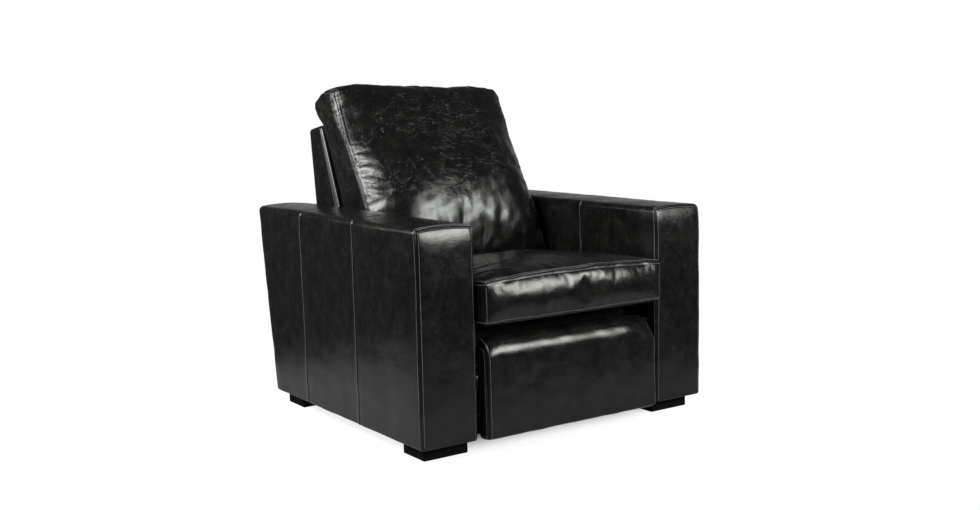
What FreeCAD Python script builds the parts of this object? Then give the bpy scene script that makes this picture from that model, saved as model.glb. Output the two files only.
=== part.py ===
import FreeCAD, Part
import math
import os

# Push-back recliner with box arms, a loose-look back cushion and a footrest panel under the seat.
# Millimetres. +Z is up and the floor is Z = 0. The sitter faces -Y, so +X is the sitter's left.
# The origin is on the floor in the middle of the chair. Depths are measured back from the fronts of the
# arms.

# Arms
arm_height = 620.0
arm_width = 180.0
arm_depth_top = 1006.0
arm_depth_bottom = 936.0
arm_crown = 5.0
arm_edge_radius = 18.0
between_arms = 630.0
arm_padding = 17.0
arm_top_padding = 24.0
arm_bottom_padding = 6.0
frame_board = 20.0

# Feet
foot_height = 38.0
foot_width = 139.0
foot_depth = 109.0
foot_side_inset = 27.0
foot_front_inset = 37.0
foot_rear_inset = 41.0
foot_chamfer = 2.5
foot_screw_radius = 2.5
foot_screw_head_radius = 6.0
foot_screw_spacing = 70.0
foot_screw_counterbore = 8.0
foot_screw_bite = 14.0

# Seat cushion
seat_front_reach = 40.0
seat_front_bulge = 8.0
seat_depth = 545.0
seat_to_back_gap = 3.5
seat_seam_height = 473.0
seat_crown = 14.0
seat_rear_drop = 9.0
seat_side_gap = 3.5
soft_seating_gap = 0.3
seat_edge_radius = 13.0
seat_boxing = 12.0
seat_top_bow = 2.0
seat_front_flatness = 0.25

# Footrest panel
footrest_front_reach = 44.0
footrest_front_bulge = 6.0
footrest_top_height = 317.0
footrest_bottom_height = 41.0
footrest_rear = 25.0
footrest_side_gap = 4.0
footrest_roll_radius = 38.0
footrest_bottom_radius = 16.0
footrest_board_thickness = 15.0
footrest_board_margin = 19.0
footrest_boxing = 13.0
footrest_boxing_draw = 14.0
footrest_rear_edge = 6.0
footrest_base_rise = 4.0
footrest_top_bow = 1.5
footrest_front_flatness = 0.2

# Back cushion and outer back
back_side_gap = 9.0
back_top_height = 1004.0
back_bottom_height = 384.0
back_brow_depth = 800.0
back_brow_drop = 15.0
back_top_start = 22.0
back_top_run = 66.0
back_top_fall = 8.0
back_chin_height = 482.0
back_peak_share = 0.72
back_side_puff = 8.0
back_crown = 38.0
back_toe = 24.0
back_chin_slip = 1.5
back_tail = 74.0
back_tail_foot_share = 0.39
back_tail_head_share = 0.73
back_rear_bow = 5.0
back_rear_head_bow = 14.0
back_brow_bow = 4.7
back_chin_bow = 2.0
back_shelf_gap = 8.0
back_lip_drop = 4.0
back_boxing_draw = 15.0
back_boxing = 16.0
cushion_stations = 7
outer_back_side_gap = 5.0
outer_back_radius = 16.0
outer_back_heel = 8.0
outer_back_rear_foot = 926.0
outer_back_rear_head = 986.0
outer_back_foot_height = 205.0
outer_back_rear_height = 861.0
outer_back_front_height = 877.0
outer_back_front_head = 888.0
outer_back_front_knee = 713.0
outer_back_knee_height = 420.0
outer_back_front_foot = 850.0
back_stile_width = 40.0
back_stile_depth = 44.0
back_frame_inset = 22.0
back_frame_end_gap = 6.0
back_board_height = 60.0
back_bolt_rise = 20.0
back_bolt_spacing = 60.0
back_bracket_drop = 70.0
back_bracket_half = 16.0
back_bracket_bend_half = 18.0
back_tail_half = 14.0

# Wooden frame of the base and of the seat
cross_rail_top = 84.0
cross_rail_thickness = 30.0
cross_rail_front = 42.0
cross_rail_rear = 636.0
seat_rail_bottom = 322.0
seat_rail_thickness = 26.0
seat_rail_width = 60.0
seat_frame_front = 90.0
seat_frame_rear = 600.0
seat_frame_side_gap = 4.0
webbing_thickness = 2.0
webbing_width = 58.0
seat_webbing_count = 4
back_webbing_count = 4
back_webbing_margin = 70.0
webbing_grip = 30.0
webbing_inset = 10.0
seat_apron_thickness = 3.0
seat_apron_bottom = 262.0
seat_apron_inset = 2.0
rear_panel_thickness = 14.0
rear_panel_inset = 8.0
rear_panel_top_gap = 6.0
rear_panel_side_gap = 0.5
rear_panel_edge = 4.0

# Mechanism: steel plates in parallel planes, numbered inwards from the arm
base_plane = 0
carrier_plane = 1
seat_plane = 2
bracket_plane = 3
outer_link_plane = 4
rear_link_plane = 5
plate_thickness = 4.0
plate_gap = 1.0
mechanism_side_gap = 17.0
link_half_width = 11.0
pivot_radius = 4.0
running_clearance = 0.08
open_clearance = 0.4
wide_open_clearance = 1.6
rivet_head_radius = 7.5
rivet_head_thickness = 2.0
collar_radius = 7.0
collar_clearance = 0.1
bolt_radius = 3.0
bolt_head_radius = 6.0
bolt_head_thickness = 4.0
screw_clearance = 0.1
tube_radius = 10.0
tube_wall = 1.8
tube_lug_width = 6.0
base_bolt_bite = 34.0

# Base rails
base_rail_front = 40.0
base_rail_rear = 672.0
base_rail_height = 24.0
base_rail_lobe_radius = 17.0
base_rail_flange = 32.0
base_rail_lobe_rise = 1.0

# Seat plates: a spine along the seat, lobes down to the pivots and a window in the wide part
seat_plate_half = 16.0
seat_plate_nose_run = 30.0
seat_plate_heel_run = 30.0
seat_plate_web_run = 40.0
seat_plate_web_start = 20.0
seat_plate_rear_run = 18.0
seat_plate_rear_start = 70.0
seat_window_radius = 10.0
seat_window_length = 45.0
seat_window_rise = 12.0
seat_window_shift = 25.0
seat_screw_inset = 4.0

# Footrest bracket
footrest_bracket_drop = 34.0
footrest_bracket_gap = 4.0
footrest_bracket_web = 6.0
footrest_bracket_flange = 26.0
footrest_screw_inset = 12.0
footrest_screw_share = 0.7

# Pivots, as depth behind the arm fronts and height
base_pivot_height = 125.0
front_carrier_depth = 310.0
front_carrier_length = 112.0
front_carrier_lean = 36.0
rear_carrier_depth = 514.0
rear_carrier_length = 104.5
rear_carrier_lean = 26.9
back_link_spacing = 50.0
back_link_length = 153.3
back_link_lean = 27.6
back_hinge_depth = 665.0
back_hinge_height = 300.0
front_link_depth = 135.0
link_pivot_height = 280.0
rear_link_spacing = 55.0
footrest_pivot_depth = 45.0
footrest_pivot_height = 232.0
front_link_drop = 166.0
front_link_run = 91.5
inner_pivot_offset = 5.0
inner_pivot_rise = 58.0
drive_ear_depth = 104.6
drive_ear_height = 264.8
carrier_ear_depth = 322.6
carrier_ear_height = 252.8
carrier_tube_share = 0.55

quarter_bow = 1.0 - math.cos(math.radians(45.0))
half_between = between_arms / 2.0
half_width = half_between + arm_width
front_reach = max(footrest_front_reach + footrest_front_bulge, seat_front_reach + seat_front_bulge)
rake_slope = (arm_depth_top - arm_depth_bottom) / (arm_height - foot_height)
rake_stretch = math.hypot(1.0, rake_slope)
rear_reach = arm_depth_top - arm_edge_radius * (rake_slope + rake_stretch - 1.0)
front_y = front_reach - (front_reach + rear_reach) / 2.0
mechanism_x = half_between - mechanism_side_gap
seat_rail_top = seat_rail_bottom + seat_rail_thickness
seat_bottom_height = seat_rail_top + webbing_thickness + soft_seating_gap
back_chin_depth = seat_depth - seat_front_reach + seat_to_back_gap
outer_back_rise = outer_back_front_height - outer_back_knee_height
outer_back_slope = (outer_back_front_head - outer_back_front_knee) / outer_back_rise
outer_back_stretch = math.hypot(1.0, outer_back_slope)


def vec(x, y, z):
    return FreeCAD.Vector(x, y, z)


def at(depth, height):
    """A place in the side view: depth behind the arm fronts and height above the floor."""
    return (front_y + depth, height)


def leaning(base, length, lean):
    """The far end of a link that leans to the rear by an angle from the vertical."""
    angle = math.radians(lean)
    return (base[0] + length * math.sin(angle), base[1] + length * math.cos(angle))


def shifted(point, depth, height):
    return (point[0] + depth, point[1] + height)


base_front_pivot = at(front_carrier_depth, base_pivot_height)
seat_front_pivot = leaning(base_front_pivot, front_carrier_length, front_carrier_lean)
base_rear_pivot = at(rear_carrier_depth, base_pivot_height)
seat_rear_pivot = leaning(base_rear_pivot, rear_carrier_length, rear_carrier_lean)
base_back_pivot = shifted(base_rear_pivot, back_link_spacing, 0)
back_link_pivot = leaning(base_back_pivot, back_link_length, back_link_lean)
back_hinge = at(back_hinge_depth, back_hinge_height)
front_link_pivot = at(front_link_depth, link_pivot_height)
rear_link_pivot = shifted(front_link_pivot, rear_link_spacing, 0)
front_link_end = shifted(front_link_pivot, front_link_run, -front_link_drop)
rear_link_end = shifted(rear_link_pivot, front_link_run, -front_link_drop)
outer_footrest_pivot = at(footrest_pivot_depth, footrest_pivot_height)
inner_footrest_pivot = shifted(outer_footrest_pivot, inner_pivot_offset, inner_pivot_rise)
inner_link_pivot = shifted(front_link_end, inner_pivot_offset, inner_pivot_rise)
drive_ear = at(drive_ear_depth, drive_ear_height)
carrier_ear = at(carrier_ear_depth, carrier_ear_height)
carrier_tube = (
    base_front_pivot[0] + (seat_front_pivot[0] - base_front_pivot[0]) * carrier_tube_share,
    base_front_pivot[1] + (seat_front_pivot[1] - base_front_pivot[1]) * carrier_tube_share,
)

nodes = {}


def keep(name, *solids):
    """Keep a sub-part: one solid, or a group of like solids."""
    nodes[name] = solids[0] if len(solids) == 1 else Part.makeCompound(list(solids))


def mirrored(shape):
    return shape.mirror(vec(0, 0, 0), vec(1, 0, 0))


def keep_pair(name, shape):
    """Keep a sub-part made for the sitter's left side, and its mirror image on the right."""
    keep(name + "_left", shape)
    keep(name + "_right", mirrored(shape))


def both_sides(shapes):
    return list(shapes) + [mirrored(shape) for shape in shapes]


def box(x0, x1, y0, y1, z0, z1):
    return Part.makeBox(x1 - x0, y1 - y0, z1 - z0, vec(x0, y0, z0))


def plane_outer(index):
    """Outer face of a plate plane, counted inwards from the arm."""
    return mechanism_x - index * (plate_thickness + plate_gap)


def plane_inner(index):
    return plane_outer(index) - plate_thickness


def side_face(points, x):
    """A flat face in the side view, from straight edges."""
    corners = [vec(x, y, z) for y, z in points]
    return Part.Face(Part.makePolygon(corners + corners[:1]))


def side_prism(points, x0, x1):
    return side_face(points, x0).extrude(vec(x1 - x0, 0, 0))


def belt(circles, x0, x1):
    """A plate with a belt round circles for its outline: (centre, radius), anticlockwise in the side view."""
    count = len(circles)
    normals = []
    for i in range(count):
        (cy, cz), radius = circles[i]
        (ny, nz), next_radius = circles[(i + 1) % count]
        distance = math.hypot(ny - cy, nz - cz)
        along = ((ny - cy) / distance, (nz - cz) / distance)
        share = (radius - next_radius) / distance
        across = math.sqrt(1.0 - share * share)
        normals.append((along[0] * share + along[1] * across, along[1] * share - along[0] * across))
    edges = []
    for i in range(count):
        (cy, cz), radius = circles[i]
        start = math.atan2(normals[i - 1][1], normals[i - 1][0])
        end = math.atan2(normals[i][1], normals[i][0])
        while end < start:
            end += 2.0 * math.pi
        middle = (start + end) / 2.0
        turns = (start, middle, end)
        arc = [vec(x0, cy + radius * math.cos(a), cz + radius * math.sin(a)) for a in turns]
        edges.append(Part.Arc(*arc).toShape())
        (ny, nz), next_radius = circles[(i + 1) % count]
        leave = vec(x0, cy + radius * normals[i][0], cz + radius * normals[i][1])
        reach = vec(x0, ny + next_radius * normals[i][0], nz + next_radius * normals[i][1])
        edges.append(Part.LineSegment(leave, reach).toShape())
    return Part.Face(Part.Wire(edges)).extrude(vec(x1 - x0, 0, 0))


def rod(centre, radius, x0, x1):
    """A round bar across the chair."""
    return Part.makeCylinder(radius, x1 - x0, vec(x0, centre[0], centre[1]), vec(1, 0, 0))


def fused(shapes):
    result = shapes[0]
    for shape in shapes[1:]:
        result = result.fuse(shape)
    return result.removeSplitter()


def drilled(shape, holes):
    """A plate with round holes across it, given as (centre, radius)."""
    reach = half_width
    for centre, radius in holes:
        shape = shape.cut(rod(centre, radius, 0, reach))
    return shape


def bar(index, ends, holes, half=link_half_width):
    """A flat steel link in a plate plane: belts between the ends in turn, and its holes."""
    x0 = plane_inner(index)
    x1 = plane_outer(index)
    legs = [belt([(ends[i], half), (ends[i + 1], half)], x0, x1) for i in range(len(ends) - 1)]
    return drilled(fused(legs), holes)


def rivet(centre, outer, inner, outer_head=True, inner_head=True):
    """A rivet through two plates in an outer and an inner plane, with a spacing collar between them.

    Where another plate passes close by, a head is left out and the end is flush with its plate.
    """
    low = plane_inner(inner)
    high = plane_outer(outer)
    collar_start = plane_outer(inner) + collar_clearance
    pieces = [rod(centre, collar_radius, collar_start, plane_inner(outer) - collar_clearance)]
    if inner_head:
        low -= rivet_head_thickness
        pieces.append(rod(centre, rivet_head_radius, low, plane_inner(inner) - collar_clearance))
    if outer_head:
        high += rivet_head_thickness
        pieces.append(rod(centre, rivet_head_radius, plane_outer(outer) + collar_clearance, high))
    return fused([rod(centre, pivot_radius, low, high)] + pieces)


def running(centre):
    return (centre, pivot_radius + running_clearance)


def loose(centre, clearance=open_clearance):
    return (centre, pivot_radius + clearance)


def arc_or_line(start, middle, end):
    """An arc through three points, or a straight edge where they lie in line."""
    bow = (middle - (start + end) / 2.0).Length
    if bow < 0.01:
        return Part.LineSegment(start, end).toShape()
    return Part.Arc(start, middle, end).toShape()


def section(points, bows, x):
    """A closed section in the side view. Each edge bows outwards by its own height."""
    edges = []
    count = len(points)
    for i in range(count):
        y0, z0 = points[i]
        y1, z1 = points[(i + 1) % count]
        length = math.hypot(y1 - y0, z1 - z0)
        out_y = (z1 - z0) / length
        out_z = -(y1 - y0) / length
        middle = vec(x, (y0 + y1) / 2.0 + out_y * bows[i], (z0 + z1) / 2.0 + out_z * bows[i])
        edges.append(arc_or_line(vec(x, y0, z0), middle, vec(x, y1, z1)))
    return Part.Wire(edges)


def lofted(profile, stations):
    """A smooth solid through sections of a profile, each station given as x, fullness, inset."""
    wires = []
    for x, fullness, inset in stations:
        points, bows = profile(fullness, inset)
        wires.append(section(points, bows, x))
    return Part.makeLoft(wires, True, False)


def cushion(half, boxing, profile):
    """A padded form across the chair: a crowned middle between the side seams, and rounded side boxing.

    profile(fullness, inset) gives the corners and bows of one section. Fullness rises from 0 at the side
    seams to 1 in the middle, and inset grows to 1 where the boxing is drawn in at the very side.
    """
    seam = half - boxing
    count = cushion_stations
    shares = [2.0 * i / (count - 1) - 1.0 for i in range(count)]
    middle = lofted(profile, [(seam * t, 1.0 - abs(t) ** 3, 0.0) for t in shares])
    side = lofted(profile, [(seam, 0.0, 0.0), (seam + boxing * 0.6, 0.0, 0.22), (half, 0.0, 1.0)])
    return middle.fuse([side, mirrored(side)])


def make_arms():
    """Padded box arms: crowned top, rounded edges, raked rear edge, with the wooden frame inside."""
    shoulder = arm_height - arm_crown
    past = arm_depth_top + foot_height
    corners = [vec(half_between, front_y, foot_height), vec(half_width, front_y, foot_height),
               vec(half_width, front_y, shoulder), vec(half_between, front_y, shoulder)]
    crest = vec(half_between + arm_width / 2.0, front_y, arm_height)
    edges = [
        Part.LineSegment(corners[0], corners[1]).toShape(),
        Part.LineSegment(corners[1], corners[2]).toShape(),
        Part.Arc(corners[2], crest, corners[3]).toShape(),
        Part.LineSegment(corners[3], corners[0]).toShape(),
    ]
    body = Part.Face(Part.Wire(edges)).extrude(vec(0, past, 0))
    low = 0.0
    high = arm_height + foot_height
    outline = [at(0.0, low), at(arm_rear(low), low), at(arm_rear(high), high), at(0.0, high)]
    rake = side_prism(outline, 0.0, half_width + arm_width)
    body = body.common(rake)
    top = max(body.Faces, key=lambda face: face.CenterOfMass.z)
    uprights = [e for e in body.Edges if e.BoundBox.ZLength > arm_height * 0.5]
    body = body.makeFillet(arm_edge_radius, top.Edges + uprights)
    frame = arm_frame()
    padding = body.cut(frame)
    for rail in cross_rails():
        padding = padding.cut(rail)
    for screw in foot_screws(screw_clearance):
        padding = padding.cut(screw)
        frame = frame.cut(screw)
    keep_pair("arm", padding)
    keep_pair("arm_frame", frame)


def arm_rear(height):
    """Depth of the raked rear edge of an arm at a height."""
    return arm_depth_bottom + (height - foot_height) * rake_slope


def arm_frame():
    """Ladder of boards in one arm: bottom and top boards, and three panels across, the last one raked."""
    x0 = half_between + arm_padding
    x1 = half_width - arm_padding
    z0 = foot_height + arm_bottom_padding
    z1 = arm_height - arm_top_padding
    front = arm_padding
    rear = -arm_padding
    boards = []
    for low, high in ((z0, z0 + frame_board), (z1 - frame_board, z1)):
        foot = arm_rear(low) + rear
        head = arm_rear(high) + rear
        boards.append(side_prism([at(front, low), at(foot, low), at(head, high), at(front, high)], x0, x1))
    low = z0 + frame_board
    high = z1 - frame_board
    middle = (arm_depth_bottom - frame_board) / 2.0
    for start in (front, middle):
        boards.append(box(x0, x1, front_y + start, front_y + start + frame_board, low, high))
    foot = arm_rear(low) + rear
    head = arm_rear(high) + rear
    raked = [at(foot - frame_board, low), at(foot, low), at(head, high), at(head - frame_board, high)]
    boards.append(side_prism(raked, x0, x1))
    return fused(boards)


def foot_places():
    """Near corner of each foot of the left arm: x, y."""
    x = half_width - foot_side_inset - foot_width
    return [("front", x, front_y + foot_front_inset),
            ("rear", x, front_y + arm_depth_bottom - foot_rear_inset - foot_depth)]


def foot_screws(clearance=0.0):
    """Two screws through each foot of one arm, up into the bottom board of its frame."""
    screws = []
    for _, x, y in foot_places():
        for side in (-1, 1):
            cx = x + foot_width / 2.0 + side * foot_screw_spacing / 2.0
            cy = y + foot_depth / 2.0
            tip = foot_height + arm_bottom_padding + foot_screw_bite
            start = vec(cx, cy, foot_screw_counterbore)
            radius = foot_screw_radius + clearance
            wide = foot_screw_head_radius + clearance
            shank = Part.makeCylinder(radius, tip - foot_screw_counterbore, start)
            head = Part.makeCone(wide, radius, wide - radius, start)
            screws.append(shank.fuse(head).removeSplitter())
    return screws


def make_feet():
    """Four wooden blocks with broken edges, each held by two screws from below."""
    for name, x, y in foot_places():
        foot = box(x, x + foot_width, y, y + foot_depth, 0, foot_height)
        low_edges = [e for e in foot.Edges if e.BoundBox.ZMax < 1.0]
        uprights = [e for e in foot.Edges if e.BoundBox.ZLength > foot_height * 0.5]
        foot = foot.makeChamfer(foot_chamfer, low_edges + uprights)
        for screw in foot_screws(screw_clearance):
            foot = foot.cut(screw)
        for side in (-1, 1):
            cx = x + foot_width / 2.0 + side * foot_screw_spacing / 2.0
            cy = y + foot_depth / 2.0
            wide = foot_screw_head_radius + screw_clearance
            foot = foot.cut(Part.makeCylinder(wide, foot_screw_counterbore, vec(cx, cy, 0)))
        keep("foot_%s_left" % name, foot)
        keep("foot_%s_right" % name, mirrored(foot))
    keep("foot_screws", *both_sides(foot_screws()))


def cross_rails():
    """Wooden rails from one arm frame to the other."""
    reach = half_between + arm_padding
    low = foot_height + arm_bottom_padding
    rails = []
    for start in (cross_rail_front, cross_rail_rear):
        y0 = front_y + start
        rails.append(box(-reach, reach, y0, y0 + cross_rail_thickness, low, cross_rail_top))
    return rails


def base_bolts(clearance=0.0):
    """Bolts of one base rail, down into the cross rails."""
    bolts = []
    x = plane_inner(base_plane) - base_rail_flange / 2.0
    flange_top = cross_rail_top + plate_thickness
    for start in (cross_rail_front, cross_rail_rear):
        y = front_y + start + cross_rail_thickness / 2.0
        low = cross_rail_top - base_bolt_bite
        shank = Part.makeCylinder(bolt_radius + clearance, flange_top - low, vec(x, y, low))
        if clearance > 0.0:
            bolts.append(shank)
            continue
        head = Part.makeCylinder(bolt_head_radius, bolt_head_thickness, vec(x, y, flange_top))
        bolts.append(shank.fuse(head).removeSplitter())
    return bolts


def make_base():
    """Cross rails and the steel angles of the mechanism that stand on them, with lobes at the pivots."""
    x0 = plane_inner(base_plane)
    x1 = plane_outer(base_plane)
    low = cross_rail_top
    y0 = front_y + base_rail_front
    y1 = front_y + base_rail_rear
    upright = box(x0, x1, y0, y1, low, low + base_rail_height)
    flange = box(x0 - base_rail_flange, x0, y0, y1, low, low + plate_thickness)
    pieces = [upright, flange]
    for pivot in (base_front_pivot, base_rear_pivot, base_back_pivot):
        root = low + base_rail_lobe_radius + base_rail_lobe_rise
        spread = base_rail_lobe_radius * 0.6
        pieces.append(belt([((pivot[0] - spread, root), base_rail_lobe_radius),
                            ((pivot[0] + spread, root), base_rail_lobe_radius),
                            (pivot, base_rail_lobe_radius)], x0, x1))
    rail = fused(pieces)
    across = [e for e in rail.Edges if abs(e.BoundBox.XLength - plate_thickness) < 0.01]
    top = low + base_rail_height
    across = [e for e in across if e.BoundBox.YLength < 0.01 and e.BoundBox.ZMin > top - 0.01]
    corners = [e for e in across if e.BoundBox.YMin < y0 + 1.0 or e.BoundBox.YMax > y1 - 1.0]
    rail = rail.makeFillet(base_rail_height * 0.5, corners)
    pivots = (base_front_pivot, base_rear_pivot, base_back_pivot)
    rail = drilled(rail, [running(p) for p in pivots])
    rails = cross_rails()
    for bolt in base_bolts(screw_clearance):
        rail = rail.cut(bolt)
        rails = [r.cut(bolt).cut(mirrored(bolt)) for r in rails]
    keep("cross_rails", *rails)
    keep_pair("base_rail", rail)
    keep("base_rail_bolts", *both_sides(base_bolts()))
    keep("base_rivets", *both_sides([rivet(p, base_plane, carrier_plane) for p in pivots]))


def make_rear_panel():
    """A covered board between the rear ends of the arms, raked like them, below the outer back."""
    half = half_between - rear_panel_side_gap
    low = foot_height + arm_bottom_padding
    high = outer_back_foot_height - rear_panel_top_gap
    foot = arm_rear(low) - rear_panel_inset
    head = arm_rear(high) - rear_panel_inset
    thick = rear_panel_thickness
    outline = [at(foot - thick, low), at(foot, low), at(head, high), at(head - thick, high)]
    panel = side_prism(outline, -half, half)
    rim = [e for e in panel.Edges if e.BoundBox.XLength > half]
    keep("rear_panel", panel.makeFillet(rear_panel_edge, rim))


def make_carriers():
    """Links that carry the seat on the base rails. The front ones reach on to the drive ear."""
    x0 = plane_inner(carrier_plane)
    x1 = plane_outer(carrier_plane)
    tube_lug = (carrier_tube, tube_radius + tube_lug_width)
    front = fused([
        bar(carrier_plane, [base_front_pivot, seat_front_pivot, carrier_ear], []),
        belt([(base_front_pivot, link_half_width), tube_lug], x0, x1),
        belt([tube_lug, (seat_front_pivot, link_half_width)], x0, x1),
    ])
    front = drilled(front, [running(base_front_pivot), running(seat_front_pivot)])
    front = drilled(front, [(carrier_ear, pivot_radius), (carrier_tube, tube_radius)])
    keep_pair("front_carrier", front)
    keep("carrier_cross_tube", cross_tube(carrier_tube, x1))
    holes = [running(base_rear_pivot), loose(seat_rear_pivot, wide_open_clearance)]
    rear = bar(carrier_plane, [base_rear_pivot, seat_rear_pivot], holes)
    keep_pair("rear_carrier", rear)
    keep("carrier_rivets", *both_sides([rivet(carrier_ear, base_plane, carrier_plane, inner_head=False)]))


def cross_tube(centre, reach):
    """A round steel tube right across the chair."""
    bore = rod(centre, tube_radius - tube_wall, -reach, reach)
    return rod(centre, tube_radius, -reach, reach).cut(bore)


def seat_screw_places():
    """Places of the screws through the flange of the left seat plate: x, y."""
    x = plane_inner(seat_plane) - base_rail_flange / 2.0 - seat_screw_inset
    first = seat_frame_front + seat_rail_width * 1.5
    last = seat_frame_rear - seat_rail_width
    return [(x, front_y + first + (last - first) * share) for share in (0.0, 0.5, 1.0)]


def seat_screws(clearance=0.0):
    screws = []
    low = seat_rail_bottom - plate_thickness
    length = plate_thickness + seat_rail_thickness * 0.8
    for x, y in seat_screw_places():
        shank = Part.makeCylinder(bolt_radius + clearance, length, vec(x, y, low))
        if clearance > 0.0:
            screws.append(shank)
            continue
        under = vec(x, y, low - bolt_head_thickness)
        head = Part.makeCylinder(bolt_head_radius, bolt_head_thickness, under)
        screws.append(shank.fuse(head).removeSplitter())
    return screws


def seat_window(x0, x1):
    """The rounded opening that lightens the wide part of a seat plate."""
    y = (rear_link_pivot[0] + seat_front_pivot[0]) / 2.0 + seat_window_shift
    z = (link_pivot_height + seat_front_pivot[1]) / 2.0 + seat_window_rise
    r = seat_window_radius
    far = y + seat_window_length
    low_end = ((far, z - r * 0.8), r * 1.3)
    high_end = ((far, z + r * 1.2), r)
    return belt([((y, z), r), low_end, high_end, ((y, z + r * 0.8), r * 0.8)], x0, x1)


def make_seat_plates():
    """Steel side plates under the seat: lobes down to the carriers and a flange under the side rail."""
    x0 = plane_inner(seat_plane)
    x1 = plane_outer(seat_plane)
    half = seat_plate_half
    nose = tube_radius + tube_lug_width
    web = seat_rail_bottom - half
    start = rear_link_pivot[0] + seat_plate_nose_run
    heel = ((back_hinge[0] - seat_plate_heel_run, web), half)
    front_web = ((seat_front_pivot[0] + seat_plate_web_run, web), half)
    pieces = [
        belt([(front_link_pivot, nose), ((start, link_pivot_height), nose), ((start, web), half)], x0, x1),
        belt([((start, web), half), heel], x0, x1),
        belt([heel, (back_hinge, half)], x0, x1),
        belt([(rear_link_pivot, half), (seat_front_pivot, half), front_web,
              ((rear_link_pivot[0] + seat_plate_web_start, web), half)], x0, x1),
        belt([(seat_rear_pivot, half), ((seat_rear_pivot[0] + seat_plate_rear_run, web), half),
              ((seat_rear_pivot[0] - seat_plate_rear_start, web), half)], x0, x1),
    ]
    flange_start = front_y + seat_frame_front + seat_rail_width
    flange_end = front_y + seat_frame_rear
    flange_low = seat_rail_bottom - plate_thickness
    flange = box(x0 - base_rail_flange, x0, flange_start, flange_end, flange_low, seat_rail_bottom)
    plate = fused(pieces + [flange]).cut(seat_window(x0, x1))
    plate = drilled(plate, [(front_link_pivot, tube_radius + running_clearance)])
    pins = (rear_link_pivot, seat_front_pivot, seat_rear_pivot, back_hinge)
    plate = drilled(plate, [running(p) for p in pins])
    for screw in seat_screws(screw_clearance):
        plate = plate.cut(screw)
    keep_pair("seat_plate", plate)
    pivots = [
        rivet(rear_link_pivot, seat_plane, rear_link_plane),
        rivet(back_hinge, seat_plane, bracket_plane),
        rivet(seat_front_pivot, carrier_plane, seat_plane),
        rivet(seat_rear_pivot, carrier_plane, seat_plane),
    ]
    keep("seat_rivets", *both_sides(pivots))
    keep("seat_plate_screws", *both_sides(seat_screws()))


def make_seat_frame():
    """Four flat-laid boards under the seat cushion, an apron in front and the webbing that carries it."""
    outer = half_between - seat_frame_side_gap
    inner = outer - seat_rail_width
    y0 = front_y + seat_frame_front
    y1 = front_y + seat_frame_rear
    side = box(inner, outer, y0, y1, seat_rail_bottom, seat_rail_top)
    for screw in seat_screws(screw_clearance):
        side = side.cut(screw)
    keep_pair("seat_side_rail", side)
    rail_fronts = (y0, y1 - seat_rail_width)
    rails = [box(-inner, inner, y, y + seat_rail_width, seat_rail_bottom, seat_rail_top) for y in rail_fronts]
    keep("seat_cross_rails", *rails)
    apron_half = plane_inner(rear_link_plane) - plate_thickness
    front = y0 - seat_apron_thickness
    high = seat_rail_top - seat_apron_inset
    band = box(seat_apron_inset - outer, outer - seat_apron_inset, front, y0, seat_rail_bottom, high)
    flap = box(-apron_half, apron_half, front, y0, seat_apron_bottom, high)
    keep("seat_apron", fused([band, flap]))
    straps = []
    pitch = 2.0 * inner / seat_webbing_count
    for i in range(seat_webbing_count):
        middle = -inner + pitch * (i + 0.5)
        straps.append(box(middle - webbing_width / 2.0, middle + webbing_width / 2.0,
                          y0 + webbing_inset, y1 - webbing_inset,
                          seat_rail_top, seat_rail_top + webbing_thickness))
    keep("seat_webbing", *straps)


def eased(fullness, flatness):
    """A share that is flatness at the side seams and 1 in the middle."""
    return flatness + (1.0 - flatness) * fullness


def seat_profile(fullness, inset):
    """Side view of the seat cushion: flat below, bowed front boxing, crowned top, round rear."""
    r = seat_edge_radius
    front = front_y - seat_front_reach + inset * r
    rear = front_y - seat_front_reach + seat_depth - inset * r
    low = seat_bottom_height + inset * r
    high = seat_seam_height - inset * r
    rear_high = high - seat_rear_drop
    wide = 2.0 * r
    tight = 0.6 * r
    points = [(rear - r, low), (rear, low + r), (rear, rear_high - wide), (rear - wide, rear_high),
              (front + tight, high), (front, high - tight), (front, low + r), (front + r, low)]
    bulge = seat_front_bulge * eased(fullness, seat_front_flatness)
    crown = seat_crown * fullness + seat_top_bow
    bows = [r * quarter_bow, 0.0, wide * quarter_bow, crown, tight * quarter_bow, bulge, r * quarter_bow, 0.0]
    return points, bows


def footrest_profile(fullness, inset):
    """Side view of the footrest pad: rolled top edge, bowed front, small roll below, flat rear."""
    draw = inset * footrest_boxing_draw
    front = front_y - footrest_front_reach + draw
    rear = front_y + footrest_rear
    low = footrest_bottom_height + draw
    high = footrest_top_height - draw
    roll = footrest_roll_radius - draw * 0.5
    small = footrest_bottom_radius - draw * 0.3
    edge = footrest_rear_edge
    points = [(rear, low + footrest_base_rise), (rear, high - edge), (rear - edge, high),
              (front + roll, high), (front, high - roll), (front, low + small), (front + small, low)]
    bulge = footrest_front_bulge * eased(fullness, footrest_front_flatness)
    bows = [0.0, edge * quarter_bow, footrest_top_bow * fullness, roll * quarter_bow, bulge,
            small * quarter_bow, footrest_base_rise * 0.25]
    return points, bows


def puffed(start, end, share, height):
    """Two arcs that bow a long edge outwards: where they meet with one tangent, and the bow of each."""
    run = (end[0] - start[0], end[1] - start[1])
    length = math.hypot(*run)
    along = (run[0] / length, run[1] / length)
    peak = (start[0] + run[0] * share + along[1] * height, start[1] + run[1] * share - along[0] * height)
    bows = []
    for a, b in ((start, peak), (peak, end)):
        chord = math.hypot(b[0] - a[0], b[1] - a[1])
        turn = math.asin(abs(along[0] * (b[1] - a[1]) - along[1] * (b[0] - a[0])) / chord)
        bows.append(chord / 2.0 * math.tan(turn / 2.0))
    return peak, bows


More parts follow.
